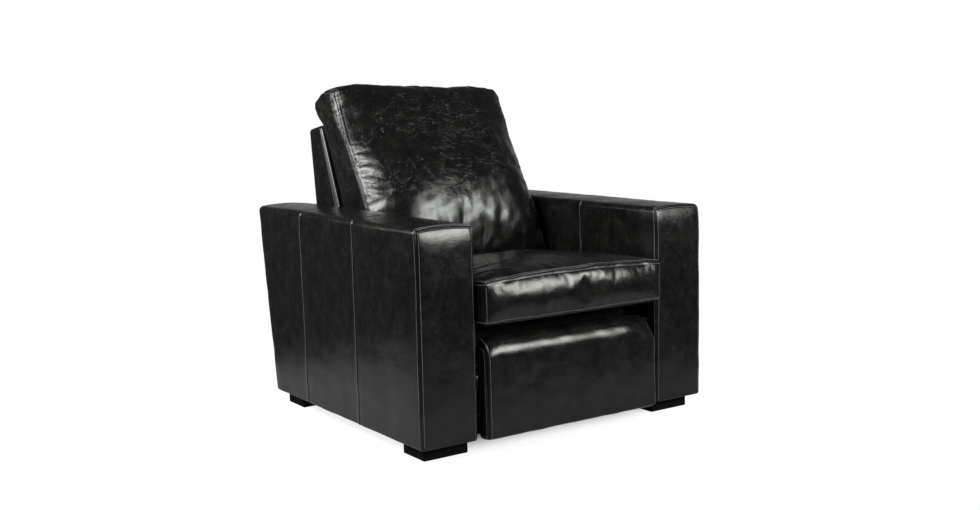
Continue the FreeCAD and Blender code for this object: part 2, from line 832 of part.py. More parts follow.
def back_profile(fullness, inset):
    """Side view of the back cushion: leaning front, puffed low down, waterfall top, straight rear."""
    draw = inset * back_boxing_draw
    low = back_bottom_height + draw
    high = back_top_height - draw
    shelf = outer_back_front_height + back_shelf_gap
    lip = outer_back_front_height - back_lip_drop
    clear = soft_seating_gap * outer_back_stretch + draw
    heel = outer_back_front(low + back_toe) - clear
    rear = outer_back_rear_head - back_tail - draw
    overhang = high - shelf
    brow = at(back_brow_depth + draw, high - back_brow_drop)
    chin = at(back_chin_depth + draw, back_chin_height)
    puff = back_side_puff + back_crown * fullness
    peak, front_bows = puffed(brow, chin, back_peak_share, puff)
    points = [
        at(heel, low + back_toe),
        at(outer_back_front(lip) - clear, lip),
        at(rear, shelf + overhang * back_tail_foot_share),
        at(rear, shelf + overhang * back_tail_head_share),
        at(back_brow_depth + back_top_run, high - back_top_fall),
        at(back_brow_depth + back_top_start, high),
        brow,
        peak,
        chin,
        at(back_chin_depth + draw + back_chin_slip, low + back_toe),
        at(back_chin_depth + draw + back_toe, low),
        at(heel - back_toe, low),
    ]
    bows = [0.0, back_rear_bow, back_rear_bow, back_rear_head_bow, back_brow_bow * 0.1, back_brow_bow]
    bows += front_bows + [back_chin_bow, back_rear_bow, 0.0, back_rear_bow]
    return points, bows


def outer_back_front(height):
    """Depth of the sloping front face of the outer back at a height."""
    return outer_back_front_knee + (height - outer_back_knee_height) * outer_back_slope


def make_seat_cushion():
    half = half_between - seat_side_gap
    keep("seat_cushion", cushion(half, seat_boxing, seat_profile))


def make_footrest():
    """Pad over a plywood board, and the steel brackets that carry it on the footrest linkage."""
    half = half_between - footrest_side_gap
    pad = cushion(half, footrest_boxing, footrest_profile)
    margin = footrest_board_margin
    rear = front_y + footrest_rear
    board = box(-half + margin, half - margin, rear - footrest_board_thickness, rear,
                footrest_bottom_height + margin, footrest_top_height - margin)
    pad = pad.cut(board)
    x0 = plane_inner(bracket_plane)
    x1 = plane_outer(bracket_plane)
    foot_low = outer_footrest_pivot[1] - footrest_bracket_drop
    foot_high = footrest_top_height - margin - footrest_bracket_gap
    web = box(x0, x1, rear, rear + footrest_bracket_web, foot_low, foot_high)
    half = link_half_width
    pivots = (outer_footrest_pivot, inner_footrest_pivot)
    lugs = [belt([((rear + half, p[1]), half), (p, half)], x0, x1) for p in pivots]
    spine = belt([(p, half) for p in pivots], x0, x1)
    flange = box(x0 - footrest_bracket_flange, x0, rear, rear + plate_thickness, foot_low, foot_high)
    bracket = drilled(fused([web, spine, flange] + lugs), [running(p) for p in pivots])
    screws = []
    back = vec(0, 1, 0)
    bite = footrest_board_thickness * footrest_screw_share
    for height in (foot_low + footrest_screw_inset, foot_high - footrest_screw_inset):
        place = vec(x0 - footrest_bracket_flange * 0.54, rear - bite, height)
        length = bite + plate_thickness
        hole = Part.makeCylinder(bolt_radius + screw_clearance, length, place, back)
        bracket = bracket.cut(hole)
        board = board.cut(hole).cut(mirrored(hole))
        shank = Part.makeCylinder(bolt_radius, length, place, back)
        seat = vec(place.x, rear + plate_thickness, height)
        head = Part.makeCylinder(bolt_head_radius, bolt_head_thickness, seat, back)
        screws.append(shank.fuse(head).removeSplitter())
    keep("footrest_pad", pad)
    keep("footrest_board", board)
    keep_pair("footrest_bracket", bracket)
    keep("footrest_screws", *both_sides(screws))
    keep("footrest_rivets", *both_sides([rivet(outer_footrest_pivot, bracket_plane, outer_link_plane),
                                         rivet(inner_footrest_pivot, seat_plane, bracket_plane)]))


def make_footrest_links():
    """The footrest linkage: two parallelograms that share the front link, and the link that drives it."""
    x0 = plane_inner(carrier_plane)
    x1 = plane_outer(carrier_plane)
    hub = (front_link_pivot, tube_radius + tube_lug_width)
    front = fused([
        belt([hub, (front_link_end, link_half_width)], x0, x1),
        belt([hub, (front_link_end, link_half_width), (inner_link_pivot, link_half_width)], x0, x1),
        belt([(drive_ear, link_half_width - plate_gap), hub], x0, x1),
    ])
    front = drilled(front, [(front_link_pivot, tube_radius)])
    front = drilled(front, [(p, pivot_radius) for p in (inner_link_pivot, front_link_end, drive_ear)])
    keep_pair("front_footrest_link", front)
    keep("footrest_torque_tube", cross_tube(front_link_pivot, x1))
    holes = [running(rear_link_pivot), (rear_link_end, pivot_radius)]
    rear = bar(rear_link_plane, [rear_link_pivot, rear_link_end], holes)
    keep_pair("rear_footrest_link", rear)
    holes = [loose(rear_link_end), running(front_link_end), running(outer_footrest_pivot)]
    outer = bar(outer_link_plane, [rear_link_end, front_link_end, outer_footrest_pivot], holes)
    keep_pair("outer_footrest_link", outer)
    holes = [running(inner_link_pivot), loose(inner_footrest_pivot)]
    inner = bar(seat_plane, [inner_link_pivot, inner_footrest_pivot], holes)
    keep_pair("inner_footrest_link", inner)
    pivots = [
        rivet(front_link_end, carrier_plane, outer_link_plane, outer_head=False),
        rivet(inner_link_pivot, carrier_plane, seat_plane),
        rivet(drive_ear, base_plane, carrier_plane, inner_head=False),
    ]
    keep("front_link_rivets", *both_sides(pivots))
    keep("rear_link_rivets", *both_sides([rivet(rear_link_end, outer_link_plane, rear_link_plane)]))
    holes = [running(drive_ear), loose(carrier_ear, wide_open_clearance)]
    drive = bar(base_plane, [drive_ear, carrier_ear], holes, link_half_width - plate_gap)
    keep_pair("drive_link", drive)


def back_bolts(clearance=0.0):
    """Bolts of the left back bracket, across into the stile of the back frame."""
    bolts = []
    x0 = plane_inner(bracket_plane)
    x1 = plane_outer(bracket_plane)
    for place in back_bolt_places():
        shank = rod(place, bolt_radius + clearance, x0 - back_stile_width * 0.7, x1)
        if clearance > 0.0:
            bolts.append(shank)
            continue
        head = rod(place, bolt_head_radius, x1, x1 + bolt_head_thickness)
        bolts.append(shank.fuse(head).removeSplitter())
    return bolts


def back_bolt_places():
    """Bolts in the middle of the stile's depth, spaced up from the knee of the outer back."""
    first = outer_back_knee_height + back_bolt_rise
    heights = [first + i * back_bolt_spacing for i in range(3)]
    middle = back_frame_inset + back_stile_depth / 2.0
    return [at(outer_back_front(height) + middle, height) for height in heights]


def back_frame_boards():
    """Boards of the back frame: two stiles along the sloping front, a top and a low board across."""
    x1 = plane_inner(bracket_plane)
    x0 = x1 - back_stile_width
    low = outer_back_knee_height - back_frame_end_gap
    high = outer_back_front_height - back_frame_inset - back_frame_end_gap

    def slab(z0, z1, xa, xb):
        d0 = outer_back_front(z0) + back_frame_inset
        d1 = outer_back_front(z1) + back_frame_inset
        deep = back_stile_depth
        return side_prism([at(d0, z0), at(d0 + deep, z0), at(d1 + deep, z1), at(d1, z1)], xa, xb)

    stile = slab(low, high, x0, x1)
    top = slab(high - back_board_height, high, -x0, x0)
    bottom = slab(low, low + back_board_height, -x0, x0)
    return fused([stile, mirrored(stile), top, bottom])


def make_back():
    """Outer back wedge, its frame and webbing, the brackets on the back hinge and the back cushion."""
    outline = [
        at(outer_back_front_foot, outer_back_foot_height + outer_back_heel),
        at(outer_back_rear_foot, outer_back_foot_height),
        at(outer_back_rear_head, outer_back_rear_height),
        at(outer_back_front_head, outer_back_front_height),
        at(outer_back_front_knee, outer_back_knee_height),
    ]
    half = half_between - outer_back_side_gap
    wedge = side_prism(outline, -half, half)
    crossing = [e for e in wedge.Edges if e.BoundBox.XLength > half]
    wedge = wedge.makeFillet(outer_back_radius, crossing)
    rim = [e for e in wedge.Edges if e.BoundBox.XLength < 0.01]
    wedge = wedge.makeFillet(outer_back_radius * 0.5, rim)
    frame = back_frame_boards()
    x0 = plane_inner(bracket_plane)
    x1 = plane_outer(bracket_plane)
    places = back_bolt_places()
    foot = shifted(places[0], 0.0, -back_bracket_drop)
    half = back_bracket_half
    bend = back_bracket_bend_half
    arm = belt([(back_hinge, half), (foot, bend), (places[0], bend)], x0, x1)
    upright = belt([(foot, bend), (places[0], half)], x0, x1)
    blade = belt([(places[0], half), (places[-1], half)], x0, x1)
    tail = belt([(back_link_pivot, link_half_width), (back_hinge, back_tail_half)], x0, x1)
    bracket = fused([arm, upright, blade, tail])
    bracket = drilled(bracket, [running(back_hinge)])
    straps = []
    pitch = (outer_back_rise - 2.0 * back_webbing_margin) / back_webbing_count
    reach = x0 - back_stile_width + webbing_grip
    for i in range(back_webbing_count):
        middle = outer_back_knee_height + back_webbing_margin + pitch * (i + 0.5)
        z0 = middle - webbing_width / 2.0
        z1 = middle + webbing_width / 2.0
        d0 = outer_back_front(z0) + back_frame_inset
        d1 = outer_back_front(z1) + back_frame_inset
        thick = webbing_thickness
        strap = side_prism([at(d0 - thick, z0), at(d0, z0), at(d1, z1), at(d1 - thick, z1)], -reach, reach)
        straps.append(strap)
    wedge = wedge.cut(frame).cut(bracket).cut(mirrored(bracket))
    for strap in straps:
        wedge = wedge.cut(strap)
    for bolt in back_bolts():
        wedge = wedge.cut(bolt).cut(mirrored(bolt))
    for bolt in back_bolts(screw_clearance):
        frame = frame.cut(bolt).cut(mirrored(bolt))
        bracket = bracket.cut(bolt)
    bracket = drilled(bracket, [(back_link_pivot, pivot_radius)])
    keep("outer_back", wedge)
    keep("back_frame", frame)
    keep("back_webbing", *straps)
    keep_pair("back_bracket", bracket)
    keep("back_bolts", *both_sides(back_bolts()))
    keep("back_bracket_rivets", *both_sides([rivet(back_link_pivot, carrier_plane, bracket_plane)]))
    holes = [running(base_back_pivot), loose(back_link_pivot)]
    link = bar(carrier_plane, [base_back_pivot, back_link_pivot], holes)
    keep_pair("back_link", link)
    keep("back_cushion", cushion(half_between - back_side_gap, back_boxing, back_profile))


make_arms()
make_feet()
make_base()
make_rear_panel()
make_carriers()
make_seat_plates()
make_seat_frame()
make_seat_cushion()
make_footrest()
make_footrest_links()
make_back()

os.makedirs("parts", exist_ok=True)
for name, shape in nodes.items():
    shape.exportStep("parts/%s.step" % name)
    facts = (name, len(shape.Solids), shape.Volume, shape.isValid())
    print("%-28s %2d solid(s) %10.0f mm3 valid %s" % facts)
print(len(nodes), "nodes")
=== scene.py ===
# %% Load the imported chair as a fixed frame
import math
import bpy
import numpy as np
from mathutils import Matrix, Vector


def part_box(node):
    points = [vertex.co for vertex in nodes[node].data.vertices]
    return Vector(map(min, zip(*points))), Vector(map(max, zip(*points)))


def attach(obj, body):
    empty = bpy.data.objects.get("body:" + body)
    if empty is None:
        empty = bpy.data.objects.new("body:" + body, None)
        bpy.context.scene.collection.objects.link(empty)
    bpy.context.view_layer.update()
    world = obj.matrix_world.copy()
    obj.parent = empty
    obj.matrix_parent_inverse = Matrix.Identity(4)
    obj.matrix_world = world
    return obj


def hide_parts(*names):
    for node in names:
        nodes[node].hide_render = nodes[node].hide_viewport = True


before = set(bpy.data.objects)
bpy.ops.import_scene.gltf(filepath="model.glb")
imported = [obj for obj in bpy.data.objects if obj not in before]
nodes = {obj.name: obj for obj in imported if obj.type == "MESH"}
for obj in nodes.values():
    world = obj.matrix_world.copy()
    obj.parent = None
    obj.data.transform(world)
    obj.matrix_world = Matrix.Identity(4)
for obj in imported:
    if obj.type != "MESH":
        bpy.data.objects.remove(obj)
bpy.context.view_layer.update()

# %% [markdown]
# # A push-back recliner in glossy black leather
# The wooden feet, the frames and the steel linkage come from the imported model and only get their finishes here.
# What the eye sees first is leather over padding: two box arms, an outer back, a seat cushion, a footrest pad and a
# back cushion. Each of these is made new below, because a plain solid has no seams, no stitches and no softness.
# Lengths are in metres. The sitter faces -Y, so +X is the sitter's left, and the floor is Z = 0.

# %% [markdown]
# ## Camera
# The photograph looks at the chair from its front right-hand side, a little above the seat. The camera's place, its
# turn and its lens were worked out from corners of the arms and feet, so the same corners land on the same pixels.
# A lens of 42 mm from three and a half metres away gives the mild perspective of a catalogue picture.

# %% Camera
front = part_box("arm_left")[0].y
camera_place = Vector((-1.942, front - 2.524, 0.895))
camera_yaw, camera_pitch, camera_roll = (math.radians(angle) for angle in (33.62, -6.78, -1.71))
camera_data = bpy.data.cameras.new("studio_camera")
camera_data.lens = 42.3
camera_data.sensor_width = 36.0
camera = bpy.data.objects.new("studio_camera", camera_data)
bpy.context.scene.collection.objects.link(camera)
camera.matrix_world = (Matrix.Translation(camera_place)
                       @ Matrix.Rotation(-camera_yaw, 4, "Z")
                       @ Matrix.Rotation(math.pi / 2 + camera_pitch, 4, "X")
                       @ Matrix.Rotation(camera_roll, 4, "Z"))
bpy.context.scene.camera = camera
bpy.context.scene.view_settings.view_transform = "Standard"
print("camera is %.2f m from the chair" % (camera_place - Vector((0, 0, 0.4))).length)

# %% [markdown]
# ## Shader maths as plain expressions
# A finish is a small graph of nodes. Written with Blender's own calls, a sum of three patterns takes a dozen lines.
# The class below wraps one output socket and gives it the signs +, - and *, so that a pattern reads like the formula
# that it is. Every other kind of node comes from one function, which takes its settings and its inputs.


# %% Sockets that can be added and multiplied
class Flow:
    """What flows out of one socket. Arithmetic on it adds Math nodes to the same tree."""

    def __init__(self, tree, socket):
        self.tree = tree
        self.socket = socket

    def math(self, operation, first, second=0.0, third=0.0):
        return node(self.tree, "ShaderNodeMath", {"operation": operation}, {0: first, 1: second, 2: third})

    def __add__(self, other):
        return self.math("ADD", self, other)

    def __radd__(self, other):
        return self.math("ADD", other, self)

    def __sub__(self, other):
        return self.math("SUBTRACT", self, other)

    def __rsub__(self, other):
        return self.math("SUBTRACT", other, self)

    def __mul__(self, other):
        return self.math("MULTIPLY", self, other)

    def __rmul__(self, other):
        return self.math("MULTIPLY", other, self)

    def absolute(self):
        return self.math("ABSOLUTE", self)

    def step(self, low, high):
        """0 below low, 1 above high, and a smooth rise between them."""
        inputs = {"Value": self, "From Min": low, "From Max": high}
        return node(self.tree, "ShaderNodeMapRange", {"interpolation_type": "SMOOTHSTEP"}, inputs)


def node(tree, kind, settings=None, inputs=None, output=0):
    """Add one node: first its settings, then the values or links of its sockets. Returns one output as a Flow."""
    made = tree.nodes.new(kind)
    for key, value in (settings or {}).items():
        setattr(made, key, value)
    for key, value in (inputs or {}).items():
        if isinstance(value, Flow):
            tree.links.new(value.socket, made.inputs[key])
        else:
            made.inputs[key].default_value = value
    return Flow(tree, made.outputs[output]) if len(made.outputs) else None


def blend_colours(mask, first, second):
    """The first colour where the mask is 0 and the second where it is 1."""
    return node(mask.tree, "ShaderNodeMix", {"data_type": "RGBA"}, {"Factor": mask, 6: first, 7: second}, 2)


def noise(place, scale, detail=4.0, roughness=0.55):
    """Cloudy pattern around one half, with about scale clouds to the metre."""
    inputs = {"Vector": place, "Scale": scale, "Detail": detail, "Roughness": roughness}
    return node(place.tree, "ShaderNodeTexNoise", {}, inputs)


def stretched(place, factors):
    """The place with each axis multiplied, which draws a pattern out along the axes with small factors."""
    return node(place.tree, "ShaderNodeVectorMath", {"operation": "MULTIPLY"}, {0: place, 1: factors})


def coordinate(place, axis):
    """One number of a place or a direction: axis 0, 1 or 2 gives its x, y or z."""
    return node(place.tree, "ShaderNodeSeparateXYZ", {}, {0: place}, axis)


def empty_tree(owner):
    """The node tree of a material or a world, with nothing in it."""
    owner.use_nodes = True
    owner.node_tree.nodes.clear()
    return owner.node_tree


def finish(name, pattern):
    """A material whose Principled BSDF gets the sockets that pattern(place) returns, from the Object coordinate."""
    material = bpy.data.materials.new(name)
    tree = empty_tree(material)
    place = node(tree, "ShaderNodeTexCoord", output="Object")
    surface = node(tree, "ShaderNodeBsdfPrincipled", {}, pattern(place))
    node(tree, "ShaderNodeOutputMaterial", {}, {"Surface": surface})
    return material


def bump(height, distance, strength=1.0):
    """A normal that leans as if the surface rose by height times distance."""
    inputs = {"Height": height, "Distance": distance, "Strength": strength}
    return node(height.tree, "ShaderNodeBump", {}, inputs)


# %% [markdown]
# ## The leather
# It is a corrected, waxed hide: nearly black, with cloudy warm grey patches where the wax has been rubbed, fine
# pebbled grain, and a gloss that sharpens and softens from patch to patch. A flat black would look like plastic.
# The colour hardly changes, so most of the life comes from the roughness and from three sizes of bump: pores, short
# creases, and the slow unevenness of the hide.


# %% Black leather
def leather_pattern(place):
    """Rubbed patches set the colour and the gloss. Relief = 0.25 * pores + 0.45 * creases + 1.1 * patches."""
    clouds = noise(place, 22.0, 6.0, 0.62)
    patches = noise(place, 75.0, 5.0, 0.6)
    cells = node(place.tree, "ShaderNodeTexVoronoi", {"feature": "F1"}, {"Vector": place, "Scale": 620.0})
    pores = (1 - cells).step(0.2, 0.9)
    creases = noise(stretched(place, (1.0, 1.0, 1.6)), 130.0, 3.0, 0.5)
    rubbed = (clouds * 0.6 + patches * 0.4).step(0.36, 0.72)
    relief = pores * 0.25 + creases * 0.45 + patches * 1.1
    return {
        "Base Color": blend_colours(rubbed, (0.0024, 0.0026, 0.0025, 1), (0.0085, 0.0089, 0.0076, 1)),
        "Roughness": 0.18 + rubbed * 0.11,
        "Specular IOR Level": 0.42,
        "Normal": bump(relief, 0.0007, 0.5),
    }


def soft_leather_pattern(place):
    """The same hide where it is leaned on: short fine creases cross it here and there, above the arms.

    A crease runs where a cloudy pattern passes one half, so its height is 1 - |folds - 0.5|, stepped.
    """
    sockets = leather_pattern(place)
    folds = noise(stretched(place, (0.6, 1.0, 1.7)), 32.0, 3.0, 0.6)
    ridge = 1 - (folds - 0.5).absolute().step(0.0, 0.028)
    worn = noise(place, 9.0, 2.0).step(0.38, 0.58) * coordinate(place, 2).step(0.62, 0.74)
    inputs = {"Height": ridge * worn, "Distance": 0.0015, "Strength": 0.6, "Normal": sockets["Normal"]}
    sockets["Normal"] = node(place.tree, "ShaderNodeBump", {}, inputs)
    return sockets


leather = finish("black_leather", leather_pattern)
soft_leather = finish("black_leather_creased", soft_leather_pattern)
print("leather has", len(leather.node_tree.nodes), "nodes, and its creased kind", len(soft_leather.node_tree.nodes))

# %% [markdown]
# ## Thread, wood, webbing and steel
# The thread is a thick bonded polyester, a violet grey that shows against the black. The feet are beech stained
# black. The hidden frames are pale softwood with long grain. The webbing is woven elastic. The mechanism's plates are
# zinc plated, its rivets brighter and its rails lacquered black.


# %% The other finishes
def thread_pattern(place):
    """A fine twist changes the colour, the gloss and the height together."""
    twist = noise(place, 900.0, 2.0)
    return {
        "Base Color": blend_colours(twist.step(0.3, 0.7), (0.085, 0.080, 0.105, 1), (0.240, 0.230, 0.285, 1)),
        "Roughness": 0.5 + twist * 0.2,
        "Normal": bump(twist, 0.0002, 0.4),
    }


def wood_pattern(dark, pale, roughness, across, shine=0.5):
    """Long grain: clouds drawn out along the boards, with fine pores in them."""

    def pattern(place):
        grain = noise(stretched(place, across), 9.0, 6.0, 0.6)
        pores = noise(stretched(place, across), 60.0, 3.0, 0.6)
        rings = grain.math("PINGPONG", grain * 9.0, 1.0)
        return {
            "Base Color": blend_colours(rings * 0.7 + pores * 0.3, dark, pale),
            "Roughness": roughness + pores * 0.15,
            "Specular IOR Level": shine,
            "Normal": bump(pores, 0.0004, 0.4),
        }

    return pattern


def webbing_pattern(place):
    """Diagonal threads, faded in stripes."""
    weave = node(place.tree, "ShaderNodeTexWave", {"wave_type": "BANDS", "bands_direction": "DIAGONAL"},
                 {"Vector": place, "Scale": 160.0, "Distortion": 0.4})
    stripe = noise(place, 40.0, 3.0)
    return {
        "Base Color": blend_colours(weave * 0.7 + stripe * 0.3, (0.020, 0.019, 0.018, 1), (0.090, 0.080, 0.066, 1)),
        "Roughness": 0.75 + weave * 0.15,
        "Normal": bump(weave, 0.0006, 0.6),
    }


def lining_pattern(place):
    """Thin black cloth: a fine square weave that hardly shows."""
    weave = node(place.tree, "ShaderNodeTexChecker", {}, {"Vector": place, "Scale": 900.0}, 1)
    dust = noise(place, 60.0, 4.0)
    return {
        "Base Color": blend_colours(weave * 0.6 + dust * 0.4, (0.003, 0.003, 0.003, 1), (0.009, 0.009, 0.009, 1)),
        "Roughness": 0.85 + dust * 0.1,
        "Specular IOR Level": 0.1,
        "Normal": bump(weave, 0.0002, 0.4),
    }


def steel_pattern(dark, pale, roughness, metallic):
    """Rolled and plated steel: fine streaks in the rolling direction and cloudy plating."""

    def pattern(place):
        streaks = noise(stretched(place, (40.0, 1.0, 1.0)), 14.0, 4.0)
        plating = noise(place, 55.0, 4.0, 0.6)
        return {
            "Base Color": blend_colours(plating, dark, pale),
            "Metallic": metallic,
            "Roughness": roughness + streaks * 0.12 + plating * 0.08,
            "Normal": bump(streaks, 0.0001, 0.3),
        }

    return pattern


stained_beech = wood_pattern((0.002, 0.002, 0.002, 1), (0.007, 0.006, 0.005, 1), 0.6, (1.0, 8.0, 8.0), 0.04)
softwood = wood_pattern((0.36, 0.22, 0.11, 1), (0.62, 0.44, 0.26, 1), 0.6, (1.0, 6.0, 6.0))
zinc = steel_pattern((0.42, 0.43, 0.45, 1), (0.60, 0.61, 0.62, 1), 0.30, 1.0)
bright_steel = steel_pattern((0.50, 0.50, 0.50, 1), (0.68, 0.67, 0.65, 1), 0.25, 1.0)
lacquer = steel_pattern((0.010, 0.010, 0.011, 1), (0.020, 0.020, 0.021, 1), 0.35, 0.0)
finishes = {
    "black_leather": leather,
    "black_wood": finish("black_stained_beech", stained_beech),
    "frame_wood": finish("frame_softwood", softwood),
    "webbing": finish("elastic_webbing", webbing_pattern),
    "black_lining": finish("black_lining_cloth", lining_pattern),
    "zinc_steel": finish("zinc_plated_steel", zinc),
    "rivet_steel": finish("bright_rivet_steel", bright_steel),
    "black_steel": finish("black_lacquered_steel", lacquer),
}
# Painted shade: the cross rails get the black stained beech finish in place of the pale frame softwood, so the gap
# between the left arm and the footrest shows dark instead of pale wood. The footrest board gets the same black
# finish.
painted_shade_black = ("cross_rails", "footrest_board")
thread = finish("violet_grey_thread", thread_pattern)
slot_of = {name: obj.data.materials[0].name for name, obj in nodes.items()}
for name, obj in nodes.items():
    chosen = finishes["black_wood" if name in painted_shade_black else slot_of[name]]
    obj.data.materials.clear()
    obj.data.materials.append(chosen)
print("finished", len(nodes), "nodes with", len(finishes), "finishes")

# %% [markdown]
# ## Padded forms start from a rounded block
# An upholsterer cuts foam blocks, rounds their edges and pulls leather panels over them. A seam lies along the middle
# of a rounded edge, with a row of stitches on each side. So the block here is drawn as a lattice on six sides, with
# close lines beside every edge, where seams need detail, and wide lines in the calm middle of a panel.


# %% Lattice lines along one axis
seam_arcs = np.array([0.0, 0.7, 1.4, 2.3, 3.5, 5.0, 7.0, 9.0, 11.5]) / 1000
row_line = 6


def arc_to_place(arc, radius):
    """How far from the plain box's edge a point lies whose arc from the middle of the rounding is known.

    On the rounding the place is radius - radius * tan(45 degrees - arc / radius). Beyond it, lengths are plain.
    """
    turn = np.clip(np.pi / 4 - arc / radius, 0, None)
    return radius - radius * np.tan(turn) + np.clip(arc - radius * np.pi / 4, 0, None)


def place_to_arc(place, radius):
    """The reverse of arc_to_place."""
    inside = np.clip(1 - place / radius, 0, 1)
    return radius * (np.pi / 4 - np.arctan(inside)) + np.clip(place - radius, 0, None)


def axis_lines(low, high, radii, step, seams=()):
    """Places of the lattice lines on one axis: close beside both edges and each seam, and step apart elsewhere."""
    near = low + arc_to_place(seam_arcs, radii[0])
    far = high - arc_to_place(seam_arcs, radii[1])
    count = max(int(round((far.min() - near.max()) / step)), 2)
    middle = np.linspace(near.max(), far.min(), count + 1)[1:-1]
    fine = [seam + side * seam_arcs for seam in seams for side in (-1, 1)]
    for seam in seams:
        middle = middle[np.abs(middle - seam) > seam_arcs[-1] + step * 0.4]
    return np.unique(np.round(np.concatenate([near, far, middle] + fine), 7))


# %% The block itself
class Block:
    """A rounded block as a lattice: its points on the plain box, their numbers, faces, arcs and rounded places."""

    def __init__(self, lines, radii):
        """lines holds the places of the lattice lines on x, y and z, radii the (low, high) edge radius of each."""
        self.lines = lines
        self.radii = radii
        i, j, k = np.meshgrid(*(np.arange(len(places)) for places in lines), indexing="ij")
        last = [len(places) - 1 for places in lines]
        skin = (i == 0) | (i == last[0]) | (j == 0) | (j == last[1]) | (k == 0) | (k == last[2])
        self.number = np.full(skin.shape, -1)
        self.number[skin] = np.arange(skin.sum())
        index = [i[skin], j[skin], k[skin]]
        self.plain = np.stack([lines[a][index[a]] for a in range(3)], axis=1)
        self.on = {}
        self.arc = {}
        for a, letter in enumerate("xyz"):
            self.on[letter + "-"] = index[a] == 0
            self.on[letter + "+"] = index[a] == last[a]
            self.arc[letter + "-"] = place_to_arc(self.plain[:, a] - lines[a][0], radii[a][0])
            self.arc[letter + "+"] = place_to_arc(lines[a][-1] - self.plain[:, a], radii[a][1])
        n = self.number
        self.sides = [n[0].T, n[-1], n[:, 0], n[:, -1].T, n[:, :, 0].T, n[:, :, -1]]
        self.quads = np.concatenate([quads_of(side) for side in self.sides])
        self.rounded, self.normal = self.round_edges()

    def round_edges(self):
        """Pull each point back to the box drawn in by the radii, then out again by the radius along that line."""
        low = np.array([self.lines[a][0] for a in range(3)])
        high = np.array([self.lines[a][-1] for a in range(3)])
        r_low = np.array([self.radii[a][0] for a in range(3)])
        r_high = np.array([self.radii[a][1] for a in range(3)])
        inner = np.clip(self.plain, low + r_low, high - r_high)
        radius = np.where(self.plain < inner, r_low, r_high)
        lean = (self.plain - inner) / radius
        lean /= np.linalg.norm(lean, axis=1, keepdims=True)
        normal = lean / radius
        normal /= np.linalg.norm(normal, axis=1, keepdims=True)
        return inner + lean * radius, normal

    def seam(self, first, second):
        """Signed distance from the seam where two sides meet: below 0 on the first side, above 0 on the second."""
        distance = np.full(len(self.plain), 1.0)
        distance[self.on[first]] = -self.arc[second][self.on[first]]
        distance[self.on[second]] = self.arc[first][self.on[second]]
        return distance


def quads_of(grid):
    """Four-cornered faces between the numbers of a grid of points."""
    corners = [grid[:-1, :-1], grid[1:, :-1], grid[1:, 1:], grid[:-1, 1:]]
    return np.stack([c.ravel() for c in corners], axis=1)


def nearest(*distances):
    """Of several signed distances, the one that is least in size."""
    stack = np.stack(distances)
    pick = np.argmin(np.abs(stack), axis=0)
    return np.take_along_axis(stack, pick[None], axis=0)[0]


def bell(distance, width):
    """1 at no distance, falling off smoothly over the width."""
    return np.exp(-(distance / width) ** 2)


def rise(value, low, high):
    """0 below low, 1 above high, smooth between."""
    t = np.clip((value - low) / (high - low), 0, 1)
    return t * t * (3 - 2 * t)


def waves(points, length, seed, count=9):
    """Slow unevenness: plane waves of about one length, whose directions and phases come from a seeded generator."""
    chance = np.random.default_rng(seed)
    ways = chance.normal(size=(count, 3))
    ways /= np.linalg.norm(ways, axis=1, keepdims=True)
    pitch = 2 * np.pi / (length * chance.uniform(0.7, 1.5, count))
    phase = chance.uniform(0, 2 * np.pi, count)
    return np.sin(points @ (ways * pitch[:, None]).T + phase).sum(axis=1) / math.sqrt(count)


def make_piece(name, points, quads, material, mirror=False):
    """A smooth mesh object at the origin. A mirrored one has its faces turned over, so they still look outwards."""
    if mirror:
        points = points * np.array([-1, 1, 1])
        quads = quads[:, ::-1]
    mesh = bpy.data.meshes.new(name)
    mesh.from_pydata(points.tolist(), [], quads.tolist())
    mesh.polygons.foreach_set("use_smooth", np.ones(len(quads), bool))
    mesh.materials.append(material)
    mesh.validate()
    piece = bpy.data.objects.new(name, mesh)
    bpy.context.scene.collection.objects.link(piece)
    return piece


# %% Normals of a lattice
def vertex_normals(points, quads):
    """The crossed diagonals of every face, summed at its corners and made one long."""
    corner = points[quads]
    facing = np.cross(corner[:, 2] - corner[:, 0], corner[:, 3] - corner[:, 1])
    total = np.stack([np.bincount(quads.ravel(), np.repeat(facing[:, a], 4), len(points)) for a in range(3)], axis=1)
    return total / np.linalg.norm(total, axis=1, keepdims=True)


# %% [markdown]
# ## Stuffing
# A real cushion gets its roundness from foam pressed into a cover that is cut a little too large, so the leather
# stands full between the seams and gathers into small puckers beside them. Cloth simulation makes both at once. An
# even, coarser lattice of the same piece is blown up from inside, while its seams and hidden sides are held, and its
# cloth is let out by a few hundredths. How far each point moved is then carried over to the fine lattice.


# %% Cloth simulation of a cover
stuffing_frames = 20


def even_block(block, step):
    """The same block with evenly spaced lattice lines."""
    lines = []
    for places in block.lines:
        low, high = places[0], places[-1]
        lines.append(np.linspace(low, high, max(int(round((high - low) / step)), 3) + 1))
    return Block(lines, block.radii)


def curve_weights(known, wanted):
    """Matrix that reads a smooth curve at wanted places from its values at known ones.

    Between two known places the curve is the cubic that has the central slopes at both ends.
    """
    unit = np.eye(len(known))
    slopes = np.gradient(unit, known, axis=0)
    start = np.clip(np.searchsorted(known, wanted, side="right") - 1, 0, len(known) - 2)
    span = (known[start + 1] - known[start])[:, None]
    t = (wanted - known[start])[:, None] / span
    return ((2 * t ** 3 - 3 * t ** 2 + 1) * unit[start] + (t ** 3 - 2 * t ** 2 + t) * span * slopes[start]
            + (3 * t ** 2 - 2 * t ** 3) * unit[start + 1] + (t ** 3 - t ** 2) * span * slopes[start + 1])


def carried(coarse, moves, fine):
    """Moves of the coarse block's points, read side by side at the points of the fine block."""
    result = np.zeros((len(fine.plain), 3))
    weights = [curve_weights(coarse.lines[a], fine.lines[a]) for a in range(3)]
    for side, (a, b) in enumerate(((2, 1), (1, 2), (0, 2), (2, 0), (1, 0), (0, 1))):
        result[fine.sides[side]] = np.einsum("ia,abc,jb->ijc", weights[a], moves[coarse.sides[side]], weights[b])
    return result


